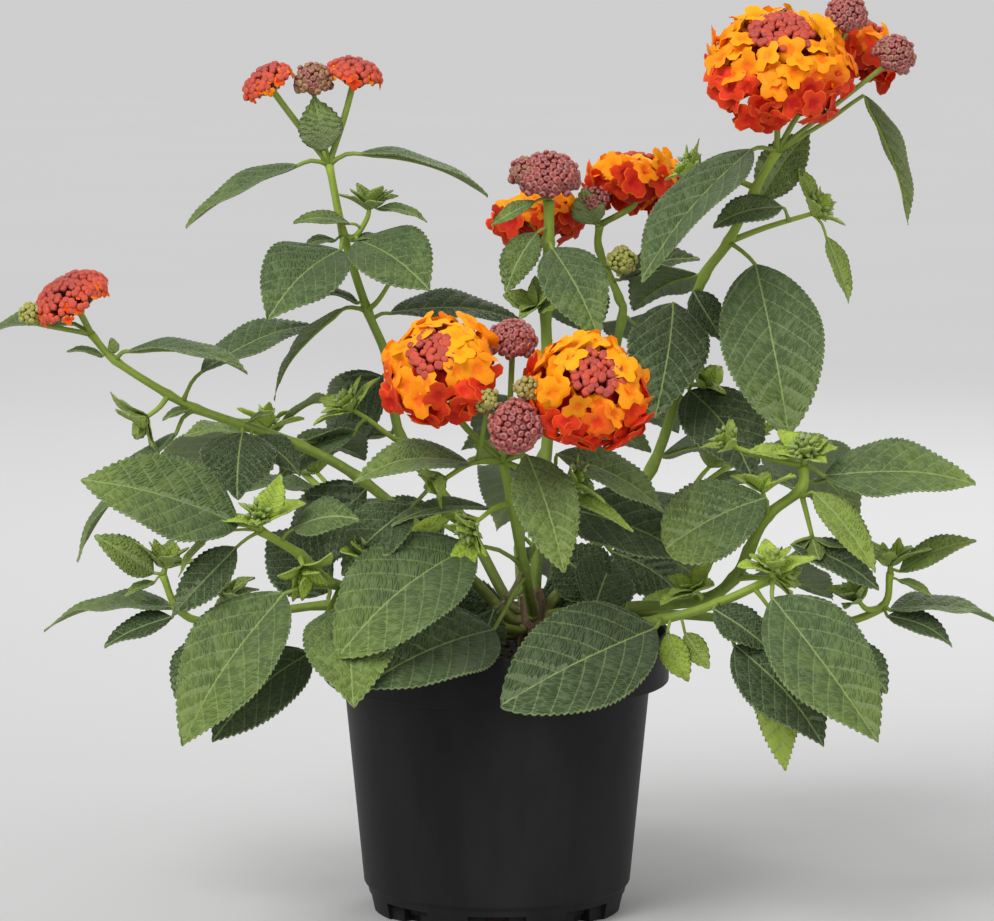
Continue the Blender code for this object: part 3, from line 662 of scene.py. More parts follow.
def leaf_top(name):
    looks = bpy.context.scene.lantana_leaf
    made = Finish(name)
    age = made.attribute("tone")
    _, beat, across = made.surface_map("Vein")
    span, along, out = made.surface_map("Span")
    cloud = made.noise(span, 0.12, detail=2.0)
    fine = made.noise(span, 2.2, roughness=0.6)
    shade = age + (cloud - 0.5) * 0.22
    grown, young = Vector(looks.grown), Vector(looks.young)
    colour = made.ramp(shade, (
        (0.0, looks.old), (0.38, grown), (0.66, grown.lerp(young, 0.38)), (1.0, young)))
    veins = vein_lines(beat, 0.075)
    rib = 1 - abs(out).between(0.1, 0.46)
    edge = abs(across).between(0.955, 1.0)
    net = ladder_net(made, beat, along, out)
    lines = 1 - net.between(0.0, 0.16)
    colour = made.mix(lines * 0.1, colour, looks.vein)
    colour = made.mix(net.between(0.12, 0.5) * 0.22, colour, colour_times(made, colour, 0.7))
    colour = made.mix(veins * 0.34, colour, looks.vein)
    colour = made.mix(rib * 0.7, colour, looks.vein)
    colour = made.mix(edge * 0.5, colour, looks.vein)
    height = net.between(0.0, 0.4) * (1 - veins * 0.7) * (1 - rib) + fine * 0.1
    normal = made.bump(height, distance=0.00055, strength=0.85)
    return made.done(colour, 0.5 + fine * 0.16, normal, Specular_IOR_Level=0.32, Sheen_Weight=0.04)


def leaf_below(name):
    looks = bpy.context.scene.lantana_leaf
    made = Finish(name)
    age = made.attribute("tone")
    _, beat, _ = made.surface_map("Vein")
    span, along, out = made.surface_map("Span")
    fine = made.noise(span, 1.1, detail=4.0, roughness=0.6)
    veins = vein_lines(beat, 0.09)
    below, young = Vector(looks.below), Vector(looks.young)
    colour = made.ramp(age, ((0.0, below * 0.4), (0.4, below * 0.85), (1.0, young)))
    colour = made.mix(fine.between(0.35, 0.75) * 0.3, colour, below * 1.35)
    colour = made.mix(veins * 0.55, colour, looks.vein)
    net = ladder_net(made, beat, along, out)
    height = veins * 1.2 - net.between(0.0, 0.3) * 0.7 + fine * 0.2
    return made.done(colour, 0.62, made.bump(height, distance=0.00025, strength=0.8), Sheen_Weight=0.05)


def green_stem(name):
    looks = bpy.context.scene.lantana_leaf
    bark = bpy.context.scene.lantana_pot.bark
    made = Finish(name)
    age = made.attribute("tone")
    place = made.object_space()
    streaks = made.noise(place, 420.0)
    cloud = made.noise(place, 60.0, detail=2.0)
    stem = Vector(looks.stem)
    newest = stem.lerp(Vector(looks.young), 0.5)
    colour = made.ramp(age + (cloud - 0.5) * 0.25, (
        (0.0, Vector(bark) * 0.8), (0.28, stem * 0.62), (0.6, stem), (1.0, newest)))
    colour = made.mix(streaks.between(0.45, 0.75) * 0.3, colour, stem * 1.5)
    normal = made.bump(streaks, distance=0.0003, strength=0.6)
    return made.done(colour, 0.5 + streaks * 0.15, normal, Specular_IOR_Level=0.3, Sheen_Weight=0.03)


def woody_bark(name):
    looks = bpy.context.scene.lantana_pot
    made = Finish(name)
    place = made.object_space()
    ridges = made.noise(made.stretched(place, (1.0, 1.0, 0.35)), 420.0, detail=4.0, roughness=0.6)
    cloud = made.noise(place, 90.0, detail=2.0)
    bark = Vector(looks.bark)
    colour = made.ramp(ridges, ((0.3, bark * 0.35), (0.5, bark), (0.75, bark * 1.9)))
    colour = made.mix(cloud.between(0.5, 0.75) * 0.4, colour, bark * 0.5)
    return made.done(colour, 0.85, made.bump(ridges, distance=0.0012, strength=1.0))


def dry_stalk(name):
    made = Finish(name)
    place = made.object_space()
    grain = made.noise(place, 500.0)
    colour = made.ramp(grain, ((0.3, (0.16, 0.14, 0.07)), (0.7, (0.36, 0.34, 0.2))))
    return made.done(colour, 0.8, made.bump(grain, distance=0.0003, strength=0.6))


def damp_soil(name):
    looks = bpy.context.scene.lantana_pot
    made = Finish(name)
    place = made.object_space()
    crumbs = made.noise(place, 330.0, detail=5.0, roughness=0.65)
    cloud = made.noise(place, 55.0, detail=2.0)
    soil = Vector(looks.soil)
    colour = made.ramp(crumbs, ((0.3, soil * 0.25), (0.5, soil), (0.72, soil * 2.2)))
    colour = made.mix(cloud.between(0.45, 0.7) * 0.5, colour, soil * 0.5)
    return made.done(colour, 0.92, made.bump(crumbs, distance=0.0015, strength=1.0))


def matt_plastic(name):
    looks = bpy.context.scene.lantana_pot
    made = Finish(name)
    place = made.object_space()
    grain = made.noise(place, 1400.0, detail=2.0)
    cloud = made.noise(made.stretched(place, (1.0, 1.0, 0.3)), 45.0)
    plastic = Vector(looks.plastic)
    colour = made.ramp(cloud, ((0.35, plastic * 0.85), (0.7, plastic * 1.3)))
    roughness = 0.4 + cloud * 0.14
    normal = made.bump(grain, distance=0.00012, strength=0.35)
    return made.done(colour, roughness, normal, Specular_IOR_Level=0.06)


def fresh_petals(name):
    """Yellow to deep red with age, deeper at the throat, with fine lines out to the edge."""
    looks = bpy.context.scene.lantana_flower
    made = Finish(name)
    age = made.attribute("tone")
    reach = made.attribute("reach")
    place = made.object_space()
    cloud = made.noise(place, 380.0)
    throat = 1 - reach.between(0.1, 0.5)
    shade = age + throat * 0.2 + (cloud - 0.5) * 0.12
    newest, gold = Vector(looks.newest), Vector(looks.gold)
    scarlet, oldest = Vector(looks.scarlet), Vector(looks.oldest)
    colour = made.ramp(shade, ((0.05, newest), (0.32, gold), (0.52, gold.lerp(scarlet, 0.6)), (0.7, scarlet),
                               (1.0, oldest)))
    colour = made.mix(reach.between(0.86, 1.0) * 0.35, colour, gold.lerp(newest, 0.3))
    lines = made.noise(place, 1500.0, detail=2.0)
    normal = made.bump(lines + cloud, distance=0.0003, strength=0.6)
    return made.done(colour, 0.6, normal, Specular_IOR_Level=0.2)


def closed_buds(name):
    """Green, coral or mauve by tone; a painted highlight rings each bud's tip, painted shade fills the gaps.
    """
    looks = bpy.context.scene.lantana_flower
    green = Vector(bpy.context.scene.lantana_leaf.young)
    made = Finish(name)
    hue = made.attribute("tone")
    reach = made.attribute("reach")
    place = made.object_space()
    cloud = made.noise(place, 600.0, detail=2.0)
    bud, coral = Vector(looks.bud), Vector(looks.coral)
    highlight_tint = bud.lerp(Vector((0.85, 0.66, 0.55)), 0.5)
    colour = made.ramp(hue + (cloud - 0.5) * 0.15, (
        (0.0, green * 0.8), (0.3, green.lerp(bud, 0.55)), (0.55, bud), (0.8, bud.lerp(coral, 0.5)),
        (1.0, coral)))
    # Painted highlight: a light ridge round each bud's tip, where light would catch its shoulder.
    ridge = (1 - abs(reach - 0.5).between(0.03, 0.24)) * (0.5 - hue.between(0.62, 0.8) * 0.4)
    colour = made.mix(ridge, colour, highlight_tint)
    # Painted shade: each bud darkens towards its sides and stalk, in the gaps between the buds.
    colour = made.mix(reach.between(0.74, 1.0) * 0.85, colour, bud * 0.22)
    return made.done(colour, 0.62, made.bump(cloud, distance=0.0002, strength=0.5), Specular_IOR_Level=0.25)


def studio_floor(name):
    looks = bpy.context.scene.lantana_stage
    made = Finish(name)
    cloud = made.noise(made.object_space(), 3.0, detail=2.0)
    floor = Vector(looks.floor)
    return made.done(made.ramp(cloud, ((0.3, floor * 0.985), (0.7, floor))), 1.0, Specular_IOR_Level=0.0)


LEAF_FINISHES = (("leaf_top", leaf_top), ("leaf_below", leaf_below), ("green_stem", green_stem))
TOP, BELOW, STALK = range(3)
PETAL_FINISHES = (("fresh_petals", fresh_petals),)
BUD_FINISHES = (("closed_buds", closed_buds),)


def new_mesh():
    """An empty mesh in millimetres, with the layers that the finishes read."""
    bm = bmesh.new()
    bm.verts.layers.float.new("tone")
    bm.verts.layers.float.new("reach")
    bm.loops.layers.uv.new("Vein")
    bm.loops.layers.uv.new("Span")
    return bm


def paint(bm, verts, layer, value):
    key = bm.verts.layers.float[layer]
    for vert in verts:
        vert[key] = value


def faces_of(verts):
    return list({face for vert in verts for face in vert.link_faces})


def edges_of(verts):
    return list({edge for vert in verts for edge in vert.link_edges})


def verts_in(parts):
    return [part for part in parts if isinstance(part, bmesh.types.BMVert)]


def draw_out(bm, edges):
    """The vertices and the edges of a new ring, extruded from the edges of the last one."""
    grown = bmesh.ops.extrude_edge_only(bm, edges=edges)["geom"]
    return verts_in(grown), [part for part in grown if isinstance(part, bmesh.types.BMEdge)]


def add_piece(bm, name, finishes, nodes=(), sharp=None):
    """The finished object in metres, which rides on the plant and stands for the nodes."""
    bmesh.ops.scale(bm, vec=(MM, MM, MM), verts=bm.verts)
    mesh = bpy.data.meshes.new(name)
    bm.to_mesh(mesh)
    bm.free()
    mesh.shade_smooth()
    if sharp:
        mesh.set_sharp_from_angle(angle=math.radians(sharp))
    for finish, make in finishes:
        mesh.materials.append(finish_once(finish, make))
    piece = bpy.data.objects.new(name, mesh)
    bpy.context.scene.collection.objects.link(piece)
    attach(piece, "root")
    if nodes:
        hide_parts(*nodes)
    return piece


def smooth_points(points, parts=CURVE_PARTS):
    """The points with the points of a smooth curve through them put in between."""
    points = [Vector(point) for point in points]
    if len(points) < 3:
        return [points[0].lerp(points[-1], step / parts) for step in range(parts + 1)]
    ends = [points[0] * 2 - points[1], *points, points[-1] * 2 - points[-2]]
    found = []
    for a, b, c, d in zip(ends, ends[1:], ends[2:], ends[3:]):
        for step in range(parts):
            t = step / parts
            found.append(0.5 * (2 * b + (c - a) * t + (2 * a - 5 * b + 4 * c - d) * t**2
                                + (3 * b - a - 3 * c + d) * t**3))
    return found + [points[-1]]


def frames(route):
    """A matrix at each point of the route, with its Z along the route and no needless turning."""
    last = len(route) - 1
    headings = [(route[min(i + 1, last)] - route[max(i - 1, 0)]).normalized() for i in range(len(route))]
    turn = headings[0].to_track_quat("Z", "Y")
    made = []
    for index, (point, heading) in enumerate(zip(route, headings)):
        if index:
            turn = headings[index - 1].rotation_difference(heading) @ turn
        made.append(Matrix.Translation(point) @ turn.to_matrix().to_4x4())
    return made


def sweep(bm, route, radii, sides=8, tones=(1.0, 1.0), square=0.0, finish=0):
    """A closed tube along the route, drawn out of a ring, with a tone from its start to its end."""
    tone = bm.verts.layers.float["tone"]
    ring = bmesh.ops.create_circle(bm, segments=sides, radius=1.0)["verts"]
    for vert in ring:
        vert.co *= 1 + square * math.cos(4 * math.atan2(vert.co.y, vert.co.x))
    places = [place @ Matrix.Scale(radius, 4) for place, radius in zip(frames(route), radii)]
    bmesh.ops.transform(bm, matrix=places[0], verts=ring)
    paint(bm, ring, "tone", tones[0])
    edges = edges_of(ring)
    bmesh.ops.contextual_create(bm, geom=edges)
    made = list(ring)
    for index in range(1, len(places)):
        ring, edges = draw_out(bm, edges)
        bmesh.ops.transform(bm, matrix=places[index] @ places[index - 1].inverted(), verts=ring)
        share = index / (len(places) - 1)
        for vert in ring:
            vert[tone] = tones[0] + (tones[1] - tones[0]) * share
        made += ring
    bmesh.ops.contextual_create(bm, geom=edges)
    close_body(bm, made, finish)
    return made


def lathe(bm, sides, form, rings, finish=0):
    """A closed body about +Z drawn out ring by ring. form gives a ring's radius and height at an angle."""
    ring = bmesh.ops.create_circle(bm, segments=sides, radius=1.0)["verts"]
    edges = edges_of(ring)
    made = []
    for index in range(rings):
        if index:
            ring, edges = draw_out(bm, edges)
        for vert in ring:
            angle = math.atan2(vert.co.y, vert.co.x)
            radius, height = form(index, angle)
            vert.co = (radius * math.cos(angle), radius * math.sin(angle), height)
        if index in (0, rings - 1):
            bmesh.ops.contextual_create(bm, geom=edges)
        made.append(ring)
    close_body(bm, [vert for ring in made for vert in ring], finish)
    return made


def close_body(bm, verts, finish):
    faces = faces_of(verts)
    bmesh.ops.recalc_face_normals(bm, faces=faces)
    for face in faces:
        face.material_index = finish


def half_width(share, width, fall=BLADE_FALL):
    """Half the width of a pointed oval blade, widest at two fifths of its length."""
    if share <= 0 or share >= 1:
        return LEAST_HALF_WIDTH
    peak = BLADE_RISE / (BLADE_RISE + fall)
    top = peak**BLADE_RISE * (1 - peak) ** fall
    return max(LEAST_HALF_WIDTH, width / 2 * share**BLADE_RISE * (1 - share) ** fall / top)


class Blade:
    """The curved, toothed and quilted surface of one leaf."""

    def __init__(self, foot, tip, width, face, arch, seed, fall=BLADE_FALL):
        looks = bpy.context.scene.lantana_leaf
        draw = random.Random(seed)
        self.foot, self.tip, self.width, self.fall = Vector(foot), Vector(tip), width, fall
        span = self.tip - self.foot
        self.length = span.length
        self.ahead = span.normalized()
        face = Vector(face)
        self.up = (face - face.project(self.ahead)).normalized()
        self.side = self.up.cross(self.ahead)
        self.arch = arch * self.length
        self.bow = draw.uniform(-0.05, 0.05) * self.length
        self.twist = draw.uniform(-0.3, 0.3)
        self.curl = draw.uniform(0.0, 0.09) * self.length
        self.wave = draw.uniform(0.02, 0.045) * width
        self.waves = draw.uniform(1.3, 2.4)
        self.phase = draw.uniform(0, math.tau)
        self.teeth = max(3, round(self.length / (looks.tooth / MM)))
        self.tooth_depth = looks.tooth_depth / MM * min(1.0, width / 14)
        self.pitch = max(1.6, looks.vein_pitch / MM * self.length / 50)
        self.quilt = 0.034 * width

    def midrib(self, share):
        hump = 4 * share * (1 - share)
        droop = self.curl * max(0.0, share - 0.55) ** 2 * 4
        return (self.foot.lerp(self.tip, share) + self.up * (self.arch * hump - droop)
                + self.side * (self.bow * hump))

    def beat(self, share, across, right):
        """Number of side veins passed at a place of the blade, whole on a vein."""
        out = abs(across) * half_width(share, self.width, self.fall)
        passed = (share * self.length - VEIN_SLOPE * out - VEIN_CURVE * out * out) / self.pitch
        return passed + (SIDE_SHIFT if right else 0)

    def relief(self, share, across):
        """Height over the plain blade: bulges between the veins and a groove along the midrib."""
        out = across * half_width(share, self.width, self.fall)
        ends = min(1.0, 9 * share, 7 * (1 - share))
        bulge = abs(math.sin(math.pi * self.beat(share, across, across > 0))) ** 0.7
        groove = math.exp(-(out / 1.1) ** 2)
        return ends * (self.quilt * (bulge - 0.6) * (1 - across**4) * (1 - groove) - 0.5 * groove)

    def tooth(self, share):
        """How far the margin stands out, from 0 between teeth to 1 near a tooth's tip."""
        return math.sin(math.pi * (share * self.teeth % 1) ** 1.6)

    def point(self, share, across, margin):
        """A place on the blade; margin is 1 on its toothed edge and 0 elsewhere."""
        half = half_width(share, self.width, self.fall)
        turn = self.twist * (share - 0.3)
        side = self.side * math.cos(turn) + self.up * math.sin(turn)
        up = self.up * math.cos(turn) - self.side * math.sin(turn)
        ends = min(1.0, 8 * share, 12 * (1 - share))
        toothed = margin * self.tooth_depth * (self.tooth(share) - 0.4) * ends
        out = across * (half + toothed)
        ripple = self.wave * math.sin(self.waves * math.tau * share + self.phase + (across > 0)) * across**2
        rise = LEAF_FOLD * abs(out) * (1.5 - 0.6 * abs(across)) + ripple * min(1.0, 4 * share)
        forward = margin * self.tooth_depth * 0.5 * self.tooth(share)
        return (self.midrib(share) + side * out + up * (rise + self.relief(share, across))
                + self.ahead * forward)


def add_blade(bm, blade, tooth_rows, columns, tone, tip_tone):
    """A blade as a closed sheet, from a grid whose rows run between its edges."""
    tone_key = bm.verts.layers.float["tone"]
    vein_map, span_map = bm.loops.layers.uv["Vein"], bm.loops.layers.uv["Span"]
    rows = blade.teeth * tooth_rows
    grid = bmesh.ops.create_grid(bm, x_segments=rows, y_segments=columns, size=0.5)["verts"]
    faces = faces_of(grid)
    spots = {vert: (vert.co.x + 0.5, 2 * vert.co.y) for vert in grid}
    for vert, (share, across) in spots.items():
        margin = 1.0 if abs(across) > 0.999 else 0.0
        vert.co = blade.point(share, across, margin)
        # Lighter, yellower towards the tip: partly young tissue and partly painted light on the tips, as if
        # lit from behind.
        vert[tone_key] = tone + (tip_tone - tone) * share**2
    for face in faces:
        right = sum(spots[vert][1] for vert in face.verts) > 0
        for loop in face.loops:
            share, across = spots[loop.vert]
            half = half_width(share, blade.width, blade.fall)
            loop[vein_map].uv = (blade.beat(share, across, right), across)
            loop[span_map].uv = (share * blade.length, across * half)
    thickness = bpy.context.scene.lantana_leaf.thickness / MM
    made = bmesh.ops.solidify(bm, geom=faces, thickness=thickness)["geom"]
    for part in made:
        if isinstance(part, bmesh.types.BMFace):
            part.material_index = BELOW


def add_petiole(bm, start, blade, tone, radius):
    """The leaf's stalk from the stem, which runs on under the blade as its tapering midrib."""
    ribs = 9
    lead = [blade.midrib(RIB_END * step / ribs) - blade.up * (0.5 * (1 - step / ribs) + 0.62)
            for step in range(1, ribs + 1)]
    first = start.lerp(blade.foot, 0.5) + blade.up * 0.12 * (blade.foot - start).length
    route = smooth_points([start, first, blade.foot - blade.up * 0.5, *lead], parts=2)
    radii = [radius + (RIB_END_RADIUS - radius) * (step / (len(route) - 1)) ** 0.8
             for step in range(len(route))]
    radii[0] = radius * 1.5
    sweep(bm, route, radii, sides=8, tones=(tone, tone + 0.2), finish=STALK)


def stem_point(stem, index):
    return Vector(STEMS[stem][0][index])


def carrier_points(stem):
    """Close points along a stem and the shoots that grow from it."""
    found = smooth_points(STEMS[stem][0])
    for index, offsets, *_ in SHOOTS.get(stem, ()):
        node = stem_point(stem, index)
        found += smooth_points([node, *(node + Vector(offset) for offset in offsets)])
    return found


def nearest(points, place):
    return min(points, key=lambda point: (point - place).length)


def add_leaf(bm, start, blade, tooth_rows, columns, tone, tip_tone, radius=PETIOLE_RADIUS):
    add_blade(bm, blade, tooth_rows, columns, tone, tip_tone)
    add_petiole(bm, start, blade, 0.35 + 0.5 * tone, radius)


def add_young_leaf(bm, foot, ahead, face, length, width, tone, seed):
    """A folded young leaf of a few faces, straight on its shoot."""
    blade = Blade(foot, foot + ahead * length, width, face, arch=0.05, seed=seed)
    blade.teeth = 4
    add_blade(bm, blade, tooth_rows=2, columns=4, tone=tone, tip_tone=tone)


def add_spike(bm, place, radius, length, tone):
    """A pointed green bract or bud, standing out along the place's Z."""
    shape = ((0.7, 0.0), (1.0, 0.3), (0.15, 1.0))

    def form(ring, angle):
        return radius * shape[ring][0], length * shape[ring][1]

    rings = lathe(bm, 5, form, len(shape), TOP)
    verts = [vert for ring in rings for vert in ring]
    paint(bm, verts, "tone", tone)
    bmesh.ops.transform(bm, matrix=place, verts=verts)


def facing(point, direction, turn=0.0):
    """A place at the point whose Z looks along the direction."""
    return (Matrix.Translation(point) @ Vector(direction).to_track_quat("Z", "Y").to_matrix().to_4x4()
            @ Matrix.Rotation(turn, 4, "Z"))


def dome(foot, axis, radius, height, count, first, last, draw=None):
    """Places spread evenly over a dome, from one angle off its axis to another, each facing out of it."""
    frame_at_foot = facing(foot, axis)
    low, high = 1 - math.cos(first), 1 - math.cos(last)
    for index in range(count):
        angle = math.acos(1 - (low + (high - low) * (index + 0.5) / count))
        turn = index * GOLDEN_ANGLE
        if draw:
            angle += draw.uniform(-0.06, 0.06)
            turn += draw.uniform(-0.12, 0.12)
        out = Vector((math.cos(turn), math.sin(turn), 0))
        up = Vector((0, 0, 1))
        spot = out * (radius * math.sin(angle)) + up * (height * math.cos(angle))
        normal = (out * (math.sin(angle) / radius) + up * (math.cos(angle) / height)).normalized()
        yield frame_at_foot @ facing(spot, normal), angle


def part_of(verts):
    """Everything that the vertices span, for duplicating them."""
    return [*verts, *edges_of(verts), *faces_of(verts)]


def stamp(bm, model, place, tone):
    """A copy of a small body that was modelled at the origin, moved to a place, with a tone of its own."""
    verts = verts_in(bmesh.ops.duplicate(bm, geom=model)["geom"])
    bmesh.ops.transform(bm, matrix=place, verts=verts)
    paint(bm, verts, "tone", tone)


def forget(bm, models):
    """Takes the models that were copied out of the mesh."""
    verts = [vert for model in models for vert in verts_in(model)]
    bmesh.ops.delete(bm, geom=verts, context="VERTS")


def add_shoot(bm, start, offsets, leaves, buds, tone, seed):
    """A side shoot that ends in paired young leaves round a knot of green buds."""
    draw = random.Random(seed)
    route = smooth_points([start, *(start + Vector(offset) for offset in offsets)], parts=4)
    tip = route[-1]
    axis = (tip - route[-3]).normalized()
    axis = (axis + Vector((0, 0, 0.7))).normalized() if axis.z > -0.3 else axis
    radii = [1.1 - 0.35 * step / (len(route) - 1) for step in range(len(route))]
    sweep(bm, route, radii, sides=8, tones=(0.6, 0.75 + 0.2 * tone), square=0.06, finish=STALK)
    base = facing(tip, axis, draw.uniform(0, math.pi)).to_3x3()
    for index in range(leaves):
        done = index / max(1, leaves - 1)
        turn = (index % 2) * math.pi + (index // 2) * math.pi / 2 + draw.uniform(-0.25, 0.25)
        lean = math.radians(70 - 38 * done + draw.uniform(-10, 10))
        out = base @ Vector((math.cos(turn), math.sin(turn), 0))
        ahead = axis * math.cos(lean) + out * math.sin(lean)
        face = axis * math.sin(lean) - out * math.cos(lean)
        length = (15.0 - 7.5 * done) * draw.uniform(0.85, 1.15)
        add_young_leaf(bm, tip + axis * (1.6 * done - 0.6), ahead, face, length, length * 0.54,
                       tone + 0.1 * done, f"{seed} {index}")
    knot = dome(tip + axis * 2.2, axis, radius=3.4, height=4.4, count=round(buds * 1.3),
                first=0.0, last=1.7, draw=draw)
    for place, _ in knot:
        length = draw.uniform(1.9, 3.2)
        add_spike(bm, place, 0.95, length, tone + draw.uniform(-0.05, 0.15))


def floret_model(bm, depth, draw):
    """One open flower at the origin: four round lobes of 1 mm on a narrow tube that is depth deep."""
    sizes = [draw.uniform(0.86, 1.1) for _ in range(4)]
    bends = [draw.uniform(-0.36, 0.22) for _ in range(4)]
    notch = (1.0, 0.9, 0.62, 0.9)

    def form(ring, angle):
        step = round(angle / math.tau * 16) % 16
        lobe = ((step + 2) // 4) % 4
        reach = notch[step % 4] * sizes[lobe]
        if ring == 0:
            return 0.1, -depth
        if ring == 1:
            return 0.18, -0.26
        if ring == 2:
            return reach, bends[lobe] * notch[step % 4] - 0.03
        if ring == 3:
            return reach * 0.62, 0.05 + bends[lobe] * 0.25
        return 0.13, -0.17

    rings = lathe(bm, 16, form, 5)
    for ring, reach in zip(rings, (0.3, 0.3, 1.0, 0.62, 0.0)):
        paint(bm, ring, "reach", reach)
    return part_of([vert for ring in rings for vert in ring])


def bud_model(bm, depth):
    """A closed bud at the origin: 1 mm round, with a dimpled tip, on a stalk that is depth deep."""
    shape = ((0.5, -depth), (0.6, -0.5 * depth), (0.96, -0.6), (1.02, 0.0), (0.66, 0.6), (0.16, 0.44))
    reaches = (1.0, 1.0, 0.95, 0.72, 0.48, 0.0)

    def form(ring, angle):
        return shape[ring][0] * (1 + 0.07 * math.cos(4 * angle)), shape[ring][1]

    rings = lathe(bm, 8, form, len(shape))
    for ring, reach in zip(rings, reaches):
        paint(bm, ring, "reach", reach)
    return part_of([vert for ring in rings for vert in ring])


def add_core(bm, seat, axis, radius, height, tone):
    """The bundle of tubes inside a head, as one fluted body that narrows down to the stalk."""
    flutes = 14
    verts = bmesh.ops.create_uvsphere(bm, u_segments=2 * flutes, v_segments=12, radius=1.0)["verts"]
    for vert in verts:
        ridge = 1 + 0.08 * math.cos(flutes * math.atan2(vert.co.y, vert.co.x))
        vert.co.xy *= ridge * (1 + 0.5 * min(0.0, vert.co.z))
    shape = facing(seat, axis) @ Matrix.Diagonal((radius, radius, height, 1.0))
    bmesh.ops.transform(bm, matrix=shape, verts=verts)
    paint(bm, verts, "tone", tone)
    paint(bm, verts, "reach", 0.3)


def add_stalk(bm, start, points, foot, axis, radius, reach):
    """A head's stalk, swelling into the seat that its flowers stand on, which it enters by the reach."""
    route = smooth_points([start, *(Vector(point) for point in points), foot, foot + axis * reach], parts=5)
    last = len(route) - 1
    radii = [radius * (1 + 0.9 * max(0.0, (step / last - 0.75) * 4) ** 2) for step in range(last + 1)]
    radii[0] = radius * 1.3
    sweep(bm, route, radii, sides=10, tones=(0.55, 0.8), square=0.07, finish=STALK)


def add_bracts(bm, foot, axis, count, length, draw):
    """Narrow green leaves round the seat of a head."""
    base = facing(foot, axis).to_3x3()
    for index in range(count):
        turn = math.tau * index / count + draw.uniform(-0.2, 0.2)
        out = base @ Vector((math.cos(turn), math.sin(turn), 0))
        angle = BRACT_LEAN + draw.uniform(-0.15, 0.15)
        ahead = axis * math.cos(angle) + out * math.sin(angle)
        place = facing(foot + out * 1.1, ahead, turn)
        add_spike(bm, place @ Matrix.Diagonal((1.0, 0.55, 1.0, 1.0)), 0.8, length, 0.75)


def smooth_step(value, low, high):
    share = min(1.0, max(0.0, (value - low) / (high - low)))
    return share * share * (3 - 2 * share)


def spin_about_z(draw):
    return Matrix.Rotation(draw.uniform(-math.pi, math.pi), 4, "Z")


def dome_area(wide, tall, first, last):
    """Area of the band of a dome between two angles off its axis."""
    return math.tau * wide * (wide + tall) / 2 * (math.cos(first) - math.cos(last))


def open_head(name, foot, axis, radius, height):
    """Florets over a dome, gold above and scarlet below, round a boss of closed buds."""
    draw = random.Random(name)
    size = bpy.context.scene.lantana_flower.floret_radius / MM
    seat = foot + axis * (0.4 * height)
    wide, tall = radius - 0.6, height * 0.54
    last = math.radians(122)
    boss = math.radians(25)
    count = round(dome_area(wide, tall, boss, last) / FLORET_AREA)
    ripening = (axis + Vector((0, 0, 1.2))).normalized()
    florets = new_mesh()
    models = [floret_model(florets, depth=2.0, draw=draw) for _ in range(5)]
    for place, _ in dome(seat, axis, wide, tall, count, boss * 1.2, last, draw):
        angle = (place.to_3x3() @ Vector((0, 0, 1))).angle(ripening) + draw.uniform(-0.14, 0.14)
        age = 0.25 * smooth_step(angle, 0.2, 1.2) + 0.6 * smooth_step(angle, 1.18, 1.5)
        tilt = (Matrix.Rotation(draw.uniform(-0.5, 0.5), 4, "X")
                @ Matrix.Rotation(draw.uniform(-0.5, 0.5), 4, "Y"))
        bulge = 2.8 * noise.noise(place.translation * 0.16)
        lift = Matrix.Translation((0, 0, bulge + draw.uniform(-1.8, 1.1)))
        scale = Matrix.Scale(size * draw.uniform(0.84, 1.08), 4)
        stamp(florets, draw.choice(models), place @ lift @ tilt @ spin_about_z(draw) @ scale,
              age + draw.uniform(-0.07, 0.07))
    forget(florets, models)
    add_core(florets, seat, axis, wide * 0.68, tall * 0.68, tone=0.92)
    buds = new_mesh()
    model = bud_model(buds, depth=4.5)
    count = round(dome_area(wide, wide, 0.0, boss) / BOSS_BUD_AREA)
    for place, _ in dome(seat, axis, wide * 0.98, tall * 0.96, count, 0.0, boss * 1.08, draw):
        lift = Matrix.Translation((0, 0, draw.uniform(-0.5, 0.7)))
        scale = (Matrix.Diagonal((1.0, draw.uniform(0.7, 1.0), 1.0, 1.0))
                 @ Matrix.Scale(draw.uniform(1.3, 1.8), 4))
        stamp(buds, model, place @ lift @ spin_about_z(draw) @ scale, draw.uniform(0.74, 0.98))
    forget(buds, [model])
    return florets, buds


def bud_head(name, foot, axis, radius, height, hue):
    """Closed buds packed over a dome."""
    draw = random.Random(name)
    seat = foot + axis * (0.42 * height)
    wide, tall = radius - 0.6, height * 0.55
    size = 0.74 + 0.05 * radius
    last = math.radians(112)
    count = round(dome_area(wide, tall, 0.0, last) / (BUD_SPREAD * size * size))
    buds = new_mesh()
    model = bud_model(buds, depth=3.0)
    for place, angle in dome(seat, axis, wide, tall, count, 0.0, last):
        lift = Matrix.Translation((0, 0, draw.uniform(-0.7, 0.9)))
        scale = (Matrix.Diagonal((1.0, draw.uniform(0.78, 1.0), 1.0, 1.0))
                 @ Matrix.Scale(size * draw.uniform(0.94, 1.2) * (0.88 + 0.16 * angle), 4))
        stamp(buds, model, place @ lift @ spin_about_z(draw) @ scale, hue + draw.uniform(-0.08, 0.08))
    forget(buds, [model])
    add_core(buds, seat, axis, wide * 0.86, tall * 0.86, hue)
    return buds


